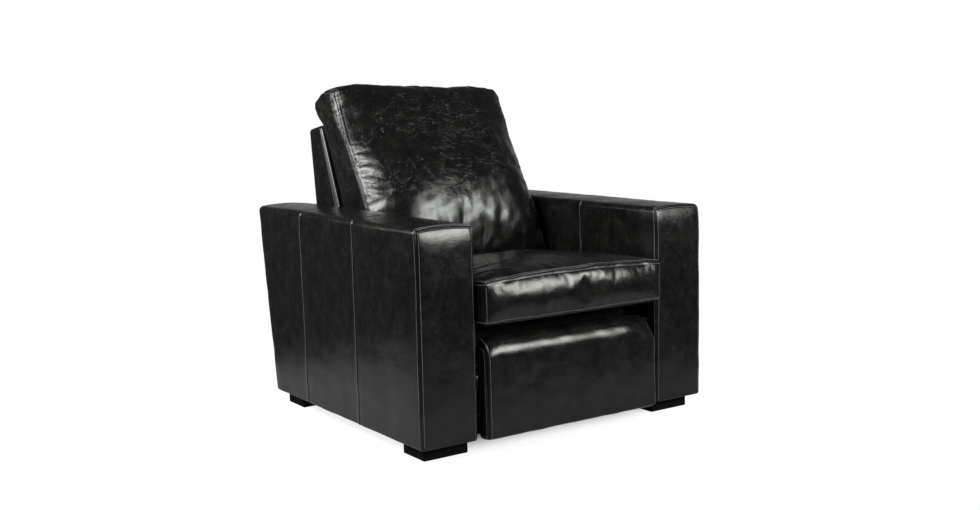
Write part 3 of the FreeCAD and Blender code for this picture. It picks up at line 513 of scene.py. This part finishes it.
def stuffed(name, block, surface, held, let_out, pressure=4.0, cap=0.024, step=0.008):
    """How far each point of a block moves when its cover is stuffed. held(block) marks the points that stay.

    The move keeps its way, and its length becomes cap * tanh(length / cap), so none is longer than the cap.
    """
    coarse = even_block(block, step)
    points = surface(coarse)
    cover = make_piece(name, points, coarse.quads, leather)
    cover.vertex_groups.new(name="held").add(np.flatnonzero(held(coarse)).tolist(), 1.0, "REPLACE")
    cloth = cover.modifiers.new("stuffing", "CLOTH")
    cloth.settings.quality = 6
    cloth.settings.mass = 0.3
    cloth.settings.vertex_group_mass = "held"
    cloth.settings.use_pressure = True
    cloth.settings.uniform_pressure_force = pressure
    cloth.settings.shrink_min = -let_out
    cloth.settings.bending_stiffness = 1.0
    cloth.settings.effector_weights.gravity = 0.0
    cloth.collision_settings.use_collision = False
    for frame_number in range(1, stuffing_frames + 1):
        bpy.context.scene.frame_set(frame_number)
    blown = cover.evaluated_get(bpy.context.evaluated_depsgraph_get())
    places = np.zeros(len(points) * 3)
    blown.data.vertices.foreach_get("co", places)
    moves = places.reshape(-1, 3) - points
    length = np.linalg.norm(moves, axis=1, keepdims=True)
    moves *= cap * np.tanh(length / cap) / np.maximum(length, 1e-9)
    bpy.data.objects.remove(cover)
    bpy.context.scene.frame_set(1)
    print(name, "moved by up to %.1f mm, %.1f mm on average" % (1000 * length.max(), 1000 * length.mean()))
    return carried(coarse, moves, block)


# %% [markdown]
# ## Seams
# Two panels are sewn face to face, opened out, and stitched down on both sides of the join. The join is then a narrow
# groove, the leather beside it is drawn in, and each row of stitches lies in a shallow dent. A felled seam, as on the
# sides of the arms, has one panel folded over the other: a low step, with one row along it.


# %% Relief of a seam
shoulder_depth, shoulder_reach = 0.0014, 0.016
groove_width, dent_depth, dent_width = 0.0011, 0.0005, 0.0014
fold_height, fold_edge, fold_fade, fold_end = 0.0011, 0.0007, 0.006, 0.011
drawn_depth, drawn_reach, nick_depth, nick_width = 0.0012, 0.012, 0.0008, 0.0009


def open_seam(distance, depth=0.0016):
    """-(shoulders that fade from the join + a groove in it + a dent under each row of stitches)."""
    away = np.abs(distance)
    shoulders = shoulder_depth * np.exp(-away / shoulder_reach)
    groove = depth * bell(away, groove_width)
    dents = dent_depth * bell(away - seam_arcs[row_line], dent_width)
    return -(shoulders + groove + dents)


def felled_seam(distance):
    """A step up at the join that fades over ten millimetres - leather drawn in round it - a nick at its foot."""
    step = fold_height * rise(distance, -fold_edge, fold_edge) * (1 - rise(distance, fold_fade, fold_end))
    drawn_in = drawn_depth * np.exp(-np.abs(distance) / drawn_reach)
    return step - drawn_in - nick_depth * bell(distance, nick_width)


# %% Stitches
stitch_length = 0.0056
stitch_pitch = 0.0068
stitch_width = 0.0015
stitch_rise = stitch_width * 0.12
sight = 0.002


def stitch_form():
    """One stitch, a small spindle: rings of six points whose radius swells from the ends, and two end points."""
    turns = np.arange(6) * np.pi / 3
    along = np.array([-0.62, 0.0, 0.62])
    swell = np.array([0.72, 1.0, 0.72])
    rings = np.stack([np.repeat(along, 6), np.outer(swell, np.cos(turns)).ravel(),
                      np.outer(swell, np.sin(turns)).ravel()], axis=1)
    points = np.concatenate([[[-1.0, 0, 0]], rings, [[1.0, 0, 0]]])
    around = np.arange(6)
    ahead = (around + 1) % 6
    start = np.stack([np.zeros(6, int), 1 + ahead, 1 + around, 1 + around], axis=1)
    bands = [np.stack([1 + b + around, 1 + b + ahead, 7 + b + ahead, 7 + b + around], axis=1) for b in (0, 6)]
    end = np.stack([np.full(6, 19), 13 + around, 13 + ahead, 13 + ahead], axis=1)
    return points, start, np.concatenate(bands), end


def sew(name, piece, paths):
    """Lay stitches along paths of vertex numbers on a piece, each one half sunk into the leather.

    A stitch points from the path's place a little behind its centre, by the length called sight, to that ahead.
    """
    count = len(piece.data.vertices)
    places = np.zeros(count * 3)
    normals = np.zeros(count * 3)
    piece.data.vertices.foreach_get("co", places)
    piece.data.vertices.foreach_get("normal", normals)
    places = places.reshape(-1, 3)
    normals = normals.reshape(-1, 3)
    form, start, bands, end = stitch_form()
    clouds = []
    for path in paths:
        line = places[path]
        gaps = np.linalg.norm(np.diff(line, axis=0), axis=1)
        run = np.concatenate([[0], np.cumsum(gaps)])
        centres = np.arange(stitch_pitch * 0.5, run[-1] - stitch_pitch * 0.3, stitch_pitch)
        wanted = ((centres, line), (centres + sight, line), (centres - sight, line), (centres, normals[path]))
        centre, ahead, behind, up = (np.stack([np.interp(s, run, values[:, a]) for a in range(3)], axis=1)
                                     for s, values in wanted)
        along = ahead - behind
        along /= np.linalg.norm(along, axis=1, keepdims=True)
        up -= along * (up * along).sum(axis=1, keepdims=True)
        up /= np.linalg.norm(up, axis=1, keepdims=True)
        across = np.cross(up, along)
        clouds.append((centre + up * stitch_rise)[:, None, :]
                      + form[None, :, 0:1] * along[:, None] * stitch_length / 2
                      + form[None, :, 1:2] * across[:, None] * stitch_width / 2
                      + form[None, :, 2:3] * up[:, None] * stitch_width / 2)
    cloud = np.concatenate(clouds)
    shift = (np.arange(len(cloud)) * len(form))[:, None, None]
    triangles = (np.concatenate([start[:, :3], end[:, :3]])[None] + shift).reshape(-1, 3)
    squares = (bands[None] + shift).reshape(-1, 4)
    mesh = bpy.data.meshes.new(name)
    mesh.from_pydata(cloud.reshape(-1, 3).tolist(), [], triangles.tolist() + squares.tolist())
    mesh.polygons.foreach_set("use_smooth", np.ones(len(mesh.polygons), bool))
    mesh.materials.append(thread)
    stitches = bpy.data.objects.new(name, mesh)
    bpy.context.scene.collection.objects.link(stitches)
    print(name, "has", len(cloud), "stitches")
    return stitches


# %% From a formed lattice to a finished piece
def upholster(part, name, rows_name, points, block, rows, body, material=leather, mirror=False):
    """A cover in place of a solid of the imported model, with its stitches, both carried by one body."""
    cover = make_piece(name, points, block.quads, material, mirror)
    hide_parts(part)
    stitches = sew(rows_name, cover, rows(block))
    for piece in (cover, stitches):
        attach(piece, body)
    print(name, "has", len(points), "points")


# %% [markdown]
# ## Arms
# Each arm is a padded box: a front panel sewn to one long cover that runs up the outside, over the top and down the
# inside in three panels. The top is slightly crowned, and the rear edge leans back. The sides are flat foam, so the
# leather lies almost flat and only the seams draw it in.

# %% Arm covers
arm_low, arm_high = (np.array(corner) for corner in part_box("arm_left"))
arm_height, arm_crown, arm_rear_lift = 0.621, 0.007, 0.011
arm_foot_depth, rake_start, rake_slope = 0.938, 0.70, 0.074 / 0.577
front_lean, front_lean_depth = 0.010, 0.30
front_fall, front_fall_height, front_fall_depth = 0.009, 0.028, 0.06
side_seams = [front + 0.345, front + 0.685]
arm_radii = [(0.015, 0.015), (0.010, 0.018), (0.006, 0.015)]
arm_block = Block([axis_lines(arm_low[0], arm_high[0], arm_radii[0], 0.018),
                   axis_lines(front, front + arm_foot_depth, arm_radii[1], 0.018, side_seams),
                   axis_lines(arm_low[2], arm_height, arm_radii[2], 0.018)], arm_radii)


def arm_surface(block):
    """Rounded box + crown over the width + a rake that grows towards the rear + the relief of the seams.

    The front leans forward evenly with its height, and falls back near the top by fall * exp(-way down / height).
    """
    points = block.rounded.copy()
    across = (points[:, 0] - arm_low[0]) / (arm_high[0] - arm_low[0]) * 2 - 1
    depth = block.plain[:, 1] - front
    lift = arm_crown * (1 - across ** 2) + arm_rear_lift * rise(depth, 0.0, 0.9)
    points[:, 2] += lift * rise(points[:, 2], 0.45, arm_height)
    points[:, 1] += rake_slope * (points[:, 2] - arm_low[2]) * rise(depth, rake_start, arm_foot_depth)
    from_top = np.clip(arm_height - points[:, 2], 0, None)
    points[:, 1] += front_fall * np.exp(-from_top / front_fall_height) * (1 - rise(depth, 0.0, front_fall_depth))
    points[:, 1] -= front_lean * points[:, 2] / arm_height * (1 - rise(depth, 0.0, front_lean_depth))
    front_seam = nearest(block.seam("y-", "x-"), block.seam("y-", "x+"), block.seam("y-", "z+"))
    rear_seam = nearest(block.seam("y+", "x-"), block.seam("y+", "x+"), block.seam("y+", "z+"))
    relief = open_seam(front_seam) + open_seam(rear_seam, 0.001)
    cover = ~(block.on["y-"] | block.on["y+"] | block.on["z-"])
    for seam in side_seams:
        relief += felled_seam(block.plain[:, 1] - seam) * cover * (1 - 0.6 * block.on["z+"])
    calm = ~block.on["z-"]
    relief += 0.0008 * waves(points, 0.16, 3) * calm + 0.0004 * waves(points, 0.06, 4) * calm
    return points + block.normal * relief[:, None]


def arm_rows(block):
    """Paths of the stitch rows: two round the front panel, and one up each side seam that ends on the arm's top."""
    n, r = block.number, row_line
    right, top = n.shape[0] - 1, n.shape[2] - 1
    foot, over = 4, 6
    on_front = np.concatenate([n[r, 0, foot:top - r], n[r:right - r + 1, 0, top - r],
                               n[right - r, 0, top - r - 1:foot - 1:-1]])
    on_cover = np.concatenate([n[0, r, foot:], n[1:right, r, top], n[right, r, :foot - 1:-1]])
    rows = [on_front, on_cover]
    for seam in side_seams:
        j = int(np.argmin(np.abs(block.lines[1] - seam - seam_arcs[4])))
        rows.append(np.concatenate([n[0, j, foot:], n[1:over, j, top]]))
        rows.append(np.concatenate([n[right, j, foot:], n[right - 1:right - over:-1, j, top]]))
    return rows


arm_points = arm_surface(arm_block)
for side, mirror in (("left", False), ("right", True)):
    upholster("arm_" + side, "arm_cover_" + side, "arm_stitches_" + side, arm_points, arm_block, arm_rows,
              body="base", mirror=mirror)

# %% [markdown]
# ## Seat cushion
# A boxed foam cushion: a top panel, a bottom panel and a strip of boxing between them. The top is crowned because the
# foam is cut a little too big for its cover, the front boxing bulges, and the top seam is stitched on both sides.

# %% Seat cushion
seat_low, seat_high = (np.array(corner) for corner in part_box("seat_cushion"))
seat_seam, seat_bulge, seat_crown, seat_arch = 0.470, 0.012, 0.010, 0.013
seat_rear_fall, seat_front_bow = 0.026, 0.006
seat_front = front - 0.034
seat_rear = seat_front + 0.545
seat_reach, easing = 0.3120, 0.008
seat_radii = [(0.010, 0.010), (0.012, 0.016), (0.010, 0.010)]
seat_block = Block([axis_lines(seat_low[0], seat_high[0], seat_radii[0], 0.007),
                    axis_lines(seat_front, seat_rear, seat_radii[1], 0.007),
                    axis_lines(seat_low[2], seat_seam, seat_radii[2], 0.007)], seat_radii)


def seat_surface(block):
    """Rounded box + an arched top seam + a crown that falls to the seams and to the rear + a bowed front."""
    points = block.rounded.copy()
    across = points[:, 0] / seat_high[0]
    along = (points[:, 1] - seat_front) / (seat_rear - seat_front)
    lift = (1 - np.abs(across) ** 3.5) * np.clip(4 * along * (1 - along), 0, 1) ** 0.45
    top = rise(points[:, 2], 0.42, seat_seam)
    arch = seat_arch * (1 - np.abs(across) ** 2.4) * rise(points[:, 2], seat_low[2], seat_seam)
    points[:, 2] += arch + (seat_crown * lift - seat_rear_fall * along) * top
    height = (block.plain[:, 2] - seat_low[2]) / (seat_seam - seat_low[2])
    bow = np.clip(1 - (2 * height - 1) ** 2, 0, 1) ** 0.85 * (1 - np.abs(across) ** 4)
    points[:, 1] -= (seat_bulge * bow + seat_front_bow * (1 - across ** 2)) * rise(-along, -0.12, 0.0)
    return points


def seat_held(block):
    """The hidden sides and every seam stay where they are. Only the top and the front boxing swell."""
    on = block.on
    return on["x-"] | on["x+"] | on["z-"] | on["y+"] | (on["z+"] & on["y-"])


def seat_relief(block, points):
    """Groove and stitch dents of the seams + slow dents where people sit."""
    top_seam = nearest(block.seam("z+", "y-"), block.seam("z+", "x-"), block.seam("z+", "x+"))
    low_seam = nearest(block.seam("z-", "y-"), block.seam("z-", "x-"), block.seam("z-", "x+"))
    corner_seam = nearest(block.seam("x-", "y-"), block.seam("x+", "y-"))
    relief = open_seam(top_seam) + open_seam(low_seam, 0.0012) + open_seam(corner_seam, 0.0012)
    return relief + (0.0010 * waves(points, 0.13, 11) + 0.0005 * waves(points, 0.05, 12)) * ~block.on["z-"]


def between_arms(points, reach):
    """Press the sides in, so that they end at the reach.

    What lies beyond a start, one easing short of the reach, becomes start + easing * tanh(beyond / easing).
    """
    beyond = np.clip(np.abs(points[:, 0]) - (reach - easing), 0, None)
    points[:, 0] -= np.sign(points[:, 0]) * (beyond - easing * np.tanh(beyond / easing))
    return points


def seat_rows(block):
    """Rows round the top panel, on the boxing above and below, and up its front corners, as vertex numbers."""
    n, r = block.number, row_line
    right, rear, top = (size - 1 for size in n.shape)
    on_top = np.concatenate([n[r, rear - r:r:-1, top], n[r:right - r, r, top], n[right - r, r:rear - r, top]])
    rows = [on_top]
    for k in (top - r, r):
        rows.append(np.concatenate([n[0, rear:0:-1, k], n[:, 0, k], n[right, 1:, k]]))
    return rows + [n[i, 0, r + 1:top - r] for i in (r, right - r)]


seat_points = seat_surface(seat_block)
seat_points += stuffed("seat_stuffing", seat_block, seat_surface, seat_held, let_out=0.008)
seat_points += vertex_normals(seat_points, seat_block.quads) * seat_relief(seat_block, seat_points)[:, None]
seat_points = between_arms(seat_points, seat_reach)
upholster("seat_cushion", "seat_cushion_cover", "seat_stitches", seat_points, seat_block, seat_rows,
          body="seat", material=soft_leather)

# %% [markdown]
# ## Footrest pad
# A slab of foam on a board. Its front panel rolls over the top edge, which gives the long bright line in the picture,
# and joins a narrow side strip with a seam stitched on both sides.

# %% Footrest pad
foot_low, foot_high = (np.array(corner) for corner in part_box("footrest_pad"))
footrest_front, footrest_bulge, footrest_half = front - 0.026, 0.005, 0.300
footrest_bottom, footrest_top = foot_low[2] - 0.008, foot_high[2] - 0.003
right_corner_drop, left_corner_drop = 0.016, 0.050
foot_radii = [(0.014, 0.014), (0.044, 0.004), (0.016, 0.056)]
foot_block = Block([axis_lines(-footrest_half, footrest_half, foot_radii[0], 0.009),
                    axis_lines(footrest_front, foot_high[1], foot_radii[1], 0.007),
                    axis_lines(footrest_bottom, footrest_top, foot_radii[2], 0.009)], foot_radii)


def footrest_surface(block):
    """Rounded slab + a front that bows over its height and width + upper corners that drop + seam relief."""
    points = block.rounded.copy()
    across = points[:, 0] / footrest_half
    height = (block.plain[:, 2] - footrest_bottom) / (footrest_top - footrest_bottom)
    behind = block.plain[:, 1] - footrest_front
    drop = right_corner_drop * rise(-across, 0.80, 1.1) + left_corner_drop * rise(across, 0.62, 1.1)
    points[:, 2] -= drop * rise(height, 0.45, 1.0) * (1 - 0.6 * rise(behind, 0.02, 0.05))
    bow = np.clip(4 * height * (1 - height), 0, 1) ** 0.7 * (1 - np.abs(across) ** 4)
    points[:, 1] -= footrest_bulge * bow * rise(-(points[:, 1] - footrest_front), -0.03, 0.0)
    seams = nearest(block.seam("x-", "y-"), block.seam("x-", "z+"), block.seam("x+", "y-"), block.seam("x+", "z+"))
    slow = 0.0009 * waves(points, 0.12, 21) + 0.0004 * waves(points, 0.05, 22)
    return points + block.normal * (open_seam(seams) + slow * ~block.on["y+"])[:, None]


def footrest_rows(block):
    """A row on the front panel and one on the side strip beside each side seam, as vertex numbers."""
    n, r = block.number, row_line
    right, rear, top = (size - 1 for size in n.shape)
    rows = []
    for edge, inner in ((0, r), (right, right - r)):
        rows.append(np.concatenate([n[inner, 0, 2:], n[inner, 1:rear - 1, top]]))
        rows.append(np.concatenate([n[edge, r, 2:top - r], n[edge, r:rear - 1, top - r]]))
    return rows


upholster("footrest_pad", "footrest_pad_cover", "footrest_stitches", footrest_surface(foot_block), foot_block,
          footrest_rows, body="footrest")

# %% [markdown]
# ## Back cushion
# One long panel starts below the sitter's back, runs up the front, falls over the top like water over a weir and
# ends behind. Narrow boxing closes the sides, joined by a seam stitched on both sides. Seen from the side its shape
# lies between two rails, a front one and a rear one. The block's own depth is stretched between them.

# %% A rail in the side view
def rail(corners, knots, stations, soften):
    """A smooth line past corners, read at stations that run from 0 to 1. knots gives the station of each corner.

    The straight lines between the corners are averaged over a share of the whole, soften, to each side, with
    weights that fall off like a cosine. At both ends the line first runs on by its own reflection.
    """
    steps = 1200
    fine = np.linspace(0, 1, steps + 1)
    line = np.stack([np.interp(fine, knots, values) for values in np.transpose(corners)], axis=1)
    width = int(soften * steps)
    kernel = np.hanning(2 * width + 3)[1:-1]
    kernel /= kernel.sum()
    longer = np.concatenate([2 * line[:1] - line[width:0:-1], line, 2 * line[-1:] - line[-2:-width - 2:-1]])
    smooth = np.stack([np.convolve(longer[:, a], kernel, mode="valid") for a in range(2)], axis=1)
    return np.stack([np.interp(stations, fine, smooth[:, a]) for a in range(2)], axis=1)


# %% Back cushion
back_low, back_high = (np.array(corner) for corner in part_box("back_cushion"))
back_radii = [(0.022, 0.022), (0.040, 0.010), (0.020, 0.008)]
back_bulge, head_bulge, back_width = 0.014, 0.008, 1.02
back_reach, head_reach = 0.3102, 0.010
back_length, back_thickness = 0.88, 0.20
back_block = Block([axis_lines(back_low[0], back_high[0], back_radii[0], 0.007),
                    axis_lines(0.0, back_thickness, back_radii[1], 0.010),
                    axis_lines(0.0, back_length, back_radii[2], 0.007)], back_radii)
rail_knots = [0.0, 0.09, 0.19, 0.28, 0.35, 0.43, 0.54, 0.79, 0.90, 1.0]
side_rail = [(0.524, 0.386), (0.510, 0.470), (0.550, 0.552), (0.596, 0.628), (0.632, 0.690), (0.672, 0.756),
             (0.716, 0.830), (0.787, 1.002), (0.862, 0.996), (0.912, 0.967)]
middle_rail = [(0.526, 0.386), (0.512, 0.475), (0.512, 0.570), (0.526, 0.646), (0.552, 0.710), (0.594, 0.772),
               (0.655, 0.846), (0.776, 1.010), (0.862, 1.006), (0.912, 0.970)]
rear_rail = [(0.668, 0.386), (0.712, 0.420), (0.740, 0.520), (0.762, 0.610), (0.782, 0.660), (0.808, 0.725),
             (0.838, 0.800), (0.880, 0.886), (0.906, 0.918), (0.913, 0.940)]


def back_surface(block):
    """Block depth w and length s become front(s) + (rear(s) - front(s)) * w / thickness in the side view.

    The front rail is a mix of a flat one, at the side seams, and a puffed one, in the middle of the cushion. The
    boxing swells sideways by a parabola over its depth, above the arms. The head is lower at its corners and on the
    sitter's left.
    """
    s = np.clip(block.rounded[:, 2] / back_length, 0, 1)
    w = block.rounded[:, 1] / back_thickness
    across = block.rounded[:, 0] / back_high[0]
    flat, full, rear = (rail(corners, rail_knots, s, 0.024) for corners in (side_rail, middle_rail, rear_rail))
    fullness = (1 - np.abs(across) ** 4.8)[:, None]
    face = flat + (full - flat) * fullness
    side = face + (rear - face) * w[:, None]
    tilt = (0.008 * across + 0.011 * np.abs(across) ** 10) * rise(side[:, 1], 0.85, 1.0)
    bulge = back_bulge * rise(side[:, 1], 0.52, 0.68) + head_bulge * rise(side[:, 1], 0.78, 0.88)
    swell = bulge * across * np.clip(4 * w * (1 - w), 0, 1)
    return np.stack([block.rounded[:, 0] * back_width + swell, front + side[:, 0], side[:, 1] - tilt], axis=1)


def back_held(block):
    """The rear, the underside and the two long seams stay. The front panel and the boxing swell."""
    on = block.on
    return on["y+"] | on["z-"] | on["z+"] | (on["y-"] & (on["x-"] | on["x+"]))


def back_relief(block, points):
    """Grooves of the long seams + vertical gathers low on the front, where the foam is pressed together."""
    seams = nearest(block.seam("x-", "y-"), block.seam("x+", "y-"))
    relief = open_seam(seams, 0.0018) + 0.0010 * waves(points, 0.12, 31) + 0.0005 * waves(points, 0.045, 32)
    gathers = waves(points * np.array([1.0, 0.0, 0.30]), 0.042, 35, 9)
    low = bell(points[:, 2] - 0.540, 0.060) * (1 - np.abs(points[:, 0] / back_high[0]) ** 4) * block.on["y-"]
    return relief + 0.0015 * gathers * low


def back_rows(block):
    """A row on the long panel and one on the boxing beside each side seam, as vertex numbers."""
    n, r = block.number, row_line
    right = n.shape[0] - 1
    rows = []
    for edge, inner in ((0, r), (right, right - r)):
        rows.append(n[inner, 0, 2:])
        rows.append(n[edge, r, 2:])
    return rows


back_points = back_surface(back_block)
back_points += stuffed("back_stuffing", back_block, back_surface, back_held, let_out=0.014)
back_points += vertex_normals(back_points, back_block.quads) * back_relief(back_block, back_points)[:, None]
back_points = between_arms(back_points, back_reach + head_reach * rise(back_points[:, 2], 0.80, 0.90))
upholster("back_cushion", "back_cushion_cover", "back_stitches", back_points, back_block, back_rows,
          body="back", material=soft_leather)

# %% [markdown]
# ## Outer back
# Behind the cushion stands a padded wedge. Its front edge leans with the cushion and its rear face is nearly upright.

# %% Outer back
outer_low, outer_high = (np.array(corner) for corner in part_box("outer_back"))
outer_length, outer_thickness, outer_width = 0.68, 0.10, 1.003
outer_radii = [(0.010, 0.010), (0.014, 0.014), (0.014, 0.014)]
outer_block = Block([axis_lines(outer_low[0], outer_high[0], outer_radii[0], 0.02),
                     axis_lines(0.0, outer_thickness, outer_radii[1], 0.02),
                     axis_lines(0.0, outer_length, outer_radii[2], 0.02)], outer_radii)
outer_knots = [0.0, 0.30, 1.0]
outer_near_rail = [(0.850, 0.209), (0.718, 0.420), (0.900, 0.888)]
outer_far_rail = [(0.926, 0.205), (0.947, 0.401), (0.989, 0.875)]


def outer_back_surface(block):
    """Depth between a sloping front line and a raked rear line, over a height that runs from foot to head."""
    s = np.clip(block.rounded[:, 2] / outer_length, 0, 1)
    w = block.rounded[:, 1] / outer_thickness
    near, far = (rail(corners, outer_knots, s, 0.02) for corners in (outer_near_rail, outer_far_rail))
    side = near + (far - near) * w[:, None]
    return np.stack([block.rounded[:, 0] * outer_width, front + side[:, 0], side[:, 1]], axis=1)


def outer_back_rows(block):
    """One row on each side, behind its front edge, as vertex numbers."""
    return [block.number[edge, row_line, 3:-3] for edge in (0, -1)]


upholster("outer_back", "outer_back_cover", "outer_back_stitches", outer_back_surface(outer_block), outer_block,
          outer_back_rows, body="back")

# %% [markdown]
# ## Studio
# A white sweep: a pale floor under the chair and white all round it. Black gloss shows mostly what it reflects, so
# soft lamps, each bright for its size, draw the lights along the edges, and the rest stays dark.


# %% Floor
def background_seen(tree):
    """1 for rays from the camera or through something clear, and a tenth of it in a gloss, as in a dim studio."""
    camera_ray, gloss_ray, clear_ray = (node(tree, "ShaderNodeLightPath", output="Is " + kind + " Ray")
                                        for kind in ("Camera", "Glossy", "Transmission"))
    return camera_ray.math("MINIMUM", camera_ray + gloss_ray * 0.1 + clear_ray, 1.0)


def floor_material():
    """A pale floor that keeps the chair's shadow. It fades into the white surroundings away from the chair.

    Round the chair the paint gets an even glow. In a rectangle under the chair the glow is cut off: that is painted
    shade, which keeps the floor dark between the feet.
    """
    material = bpy.data.materials.new("studio_floor")
    tree = empty_tree(material)
    place = node(tree, "ShaderNodeTexCoord", output="Object")
    away = node(tree, "ShaderNodeVectorMath", {"operation": "LENGTH"}, {0: place}, "Value")
    # Painted shade: the glow fades out towards a rectangle under the chair, so the floor there stays dark.
    beside = coordinate(place, 0).absolute().step(0.27, 0.44)
    before = coordinate(place, 1).absolute().step(0.27, 0.45)
    glow_outside_painted_shade = background_seen(tree) * beside.math("MAXIMUM", beside, before)
    paint = node(tree, "ShaderNodeBsdfDiffuse", {}, {"Color": (0.26, 0.26, 0.26, 1)})
    glow = node(tree, "ShaderNodeEmission", {}, {"Color": (1, 1, 1, 1), "Strength": 0.83})
    glowing = node(tree, "ShaderNodeAddShader", {}, {0: paint, 1: glow})
    near = node(tree, "ShaderNodeMixShader", {}, {0: glow_outside_painted_shade, 1: paint, 2: glowing})
    clear = node(tree, "ShaderNodeBsdfTransparent")
    mixed = node(tree, "ShaderNodeMixShader", {}, {0: away.step(0.95, 1.5), 1: near, 2: clear})
    node(tree, "ShaderNodeOutputMaterial", {}, {"Surface": mixed})
    return material


floor_reach = 2.2
floor_corners = floor_reach * np.array([[-1, -1, 0], [1, -1, 0], [1, 1, 0], [-1, 1, 0]])
floor = make_piece("studio_floor", floor_corners, np.array([[0, 1, 2, 3]]), floor_material())

# %% World: a white backdrop behind the chair and a dim room on the photographer's side
world = bpy.data.worlds.new("white_studio")
tree = empty_tree(world)
way = node(tree, "ShaderNodeTexCoord", output="Generated")
backdrop_way = (math.sin(camera_yaw), math.cos(camera_yaw), 0.0)
facing = node(tree, "ShaderNodeVectorMath", {"operation": "DOT_PRODUCT"}, {0: way, 1: backdrop_way}, "Value")
in_gloss = node(tree, "ShaderNodeLightPath", output="Is Glossy Ray")
sweep = facing.step(0.70, 0.98) * (1 - coordinate(way, 2).step(0.05, 0.42))
room = 0.05 + sweep * 0.38
strength = (0.55 + background_seen(tree) * 0.45) * (1 - in_gloss) + in_gloss * room
sky = node(tree, "ShaderNodeBackground", {}, {"Color": (1, 1, 1, 1), "Strength": strength})
node(tree, "ShaderNodeOutputWorld", {}, {"Surface": sky})
bpy.context.scene.world = world


# %% Lamps
def soft_box(name, place, target, width, height, radiance):
    """A rectangular soft box at a place, turned to a target. Its power is pi * area * radiance."""
    light = bpy.data.lights.new(name, "AREA")
    light.shape = "RECTANGLE"
    light.size = width
    light.size_y = height
    light.energy = math.pi * width * height * radiance
    light.color = (0.97, 1.0, 0.95)
    lamp = bpy.data.objects.new(name, light)
    way = Vector(place) - Vector(target)
    lamp.matrix_world = Matrix.Translation(Vector(place)) @ way.to_track_quat("Z", "Y").to_matrix().to_4x4()
    bpy.context.scene.collection.objects.link(lamp)


soft_box("lamp_front_right", (1.25, -2.78, 1.48), (0.0, -0.4, 0.5), 1.4, 0.95, 20.0)
soft_box("lamp_left", (-2.20, -0.10, 2.05), (-0.3, 0.15, 0.75), 1.3, 1.0, 22.0)
soft_box("lamp_left_rear", (-2.2, 1.35, 1.45), (-0.31, 0.3, 0.85), 1.0, 1.0, 6.0)
print("floor, world and three lamps are in place")
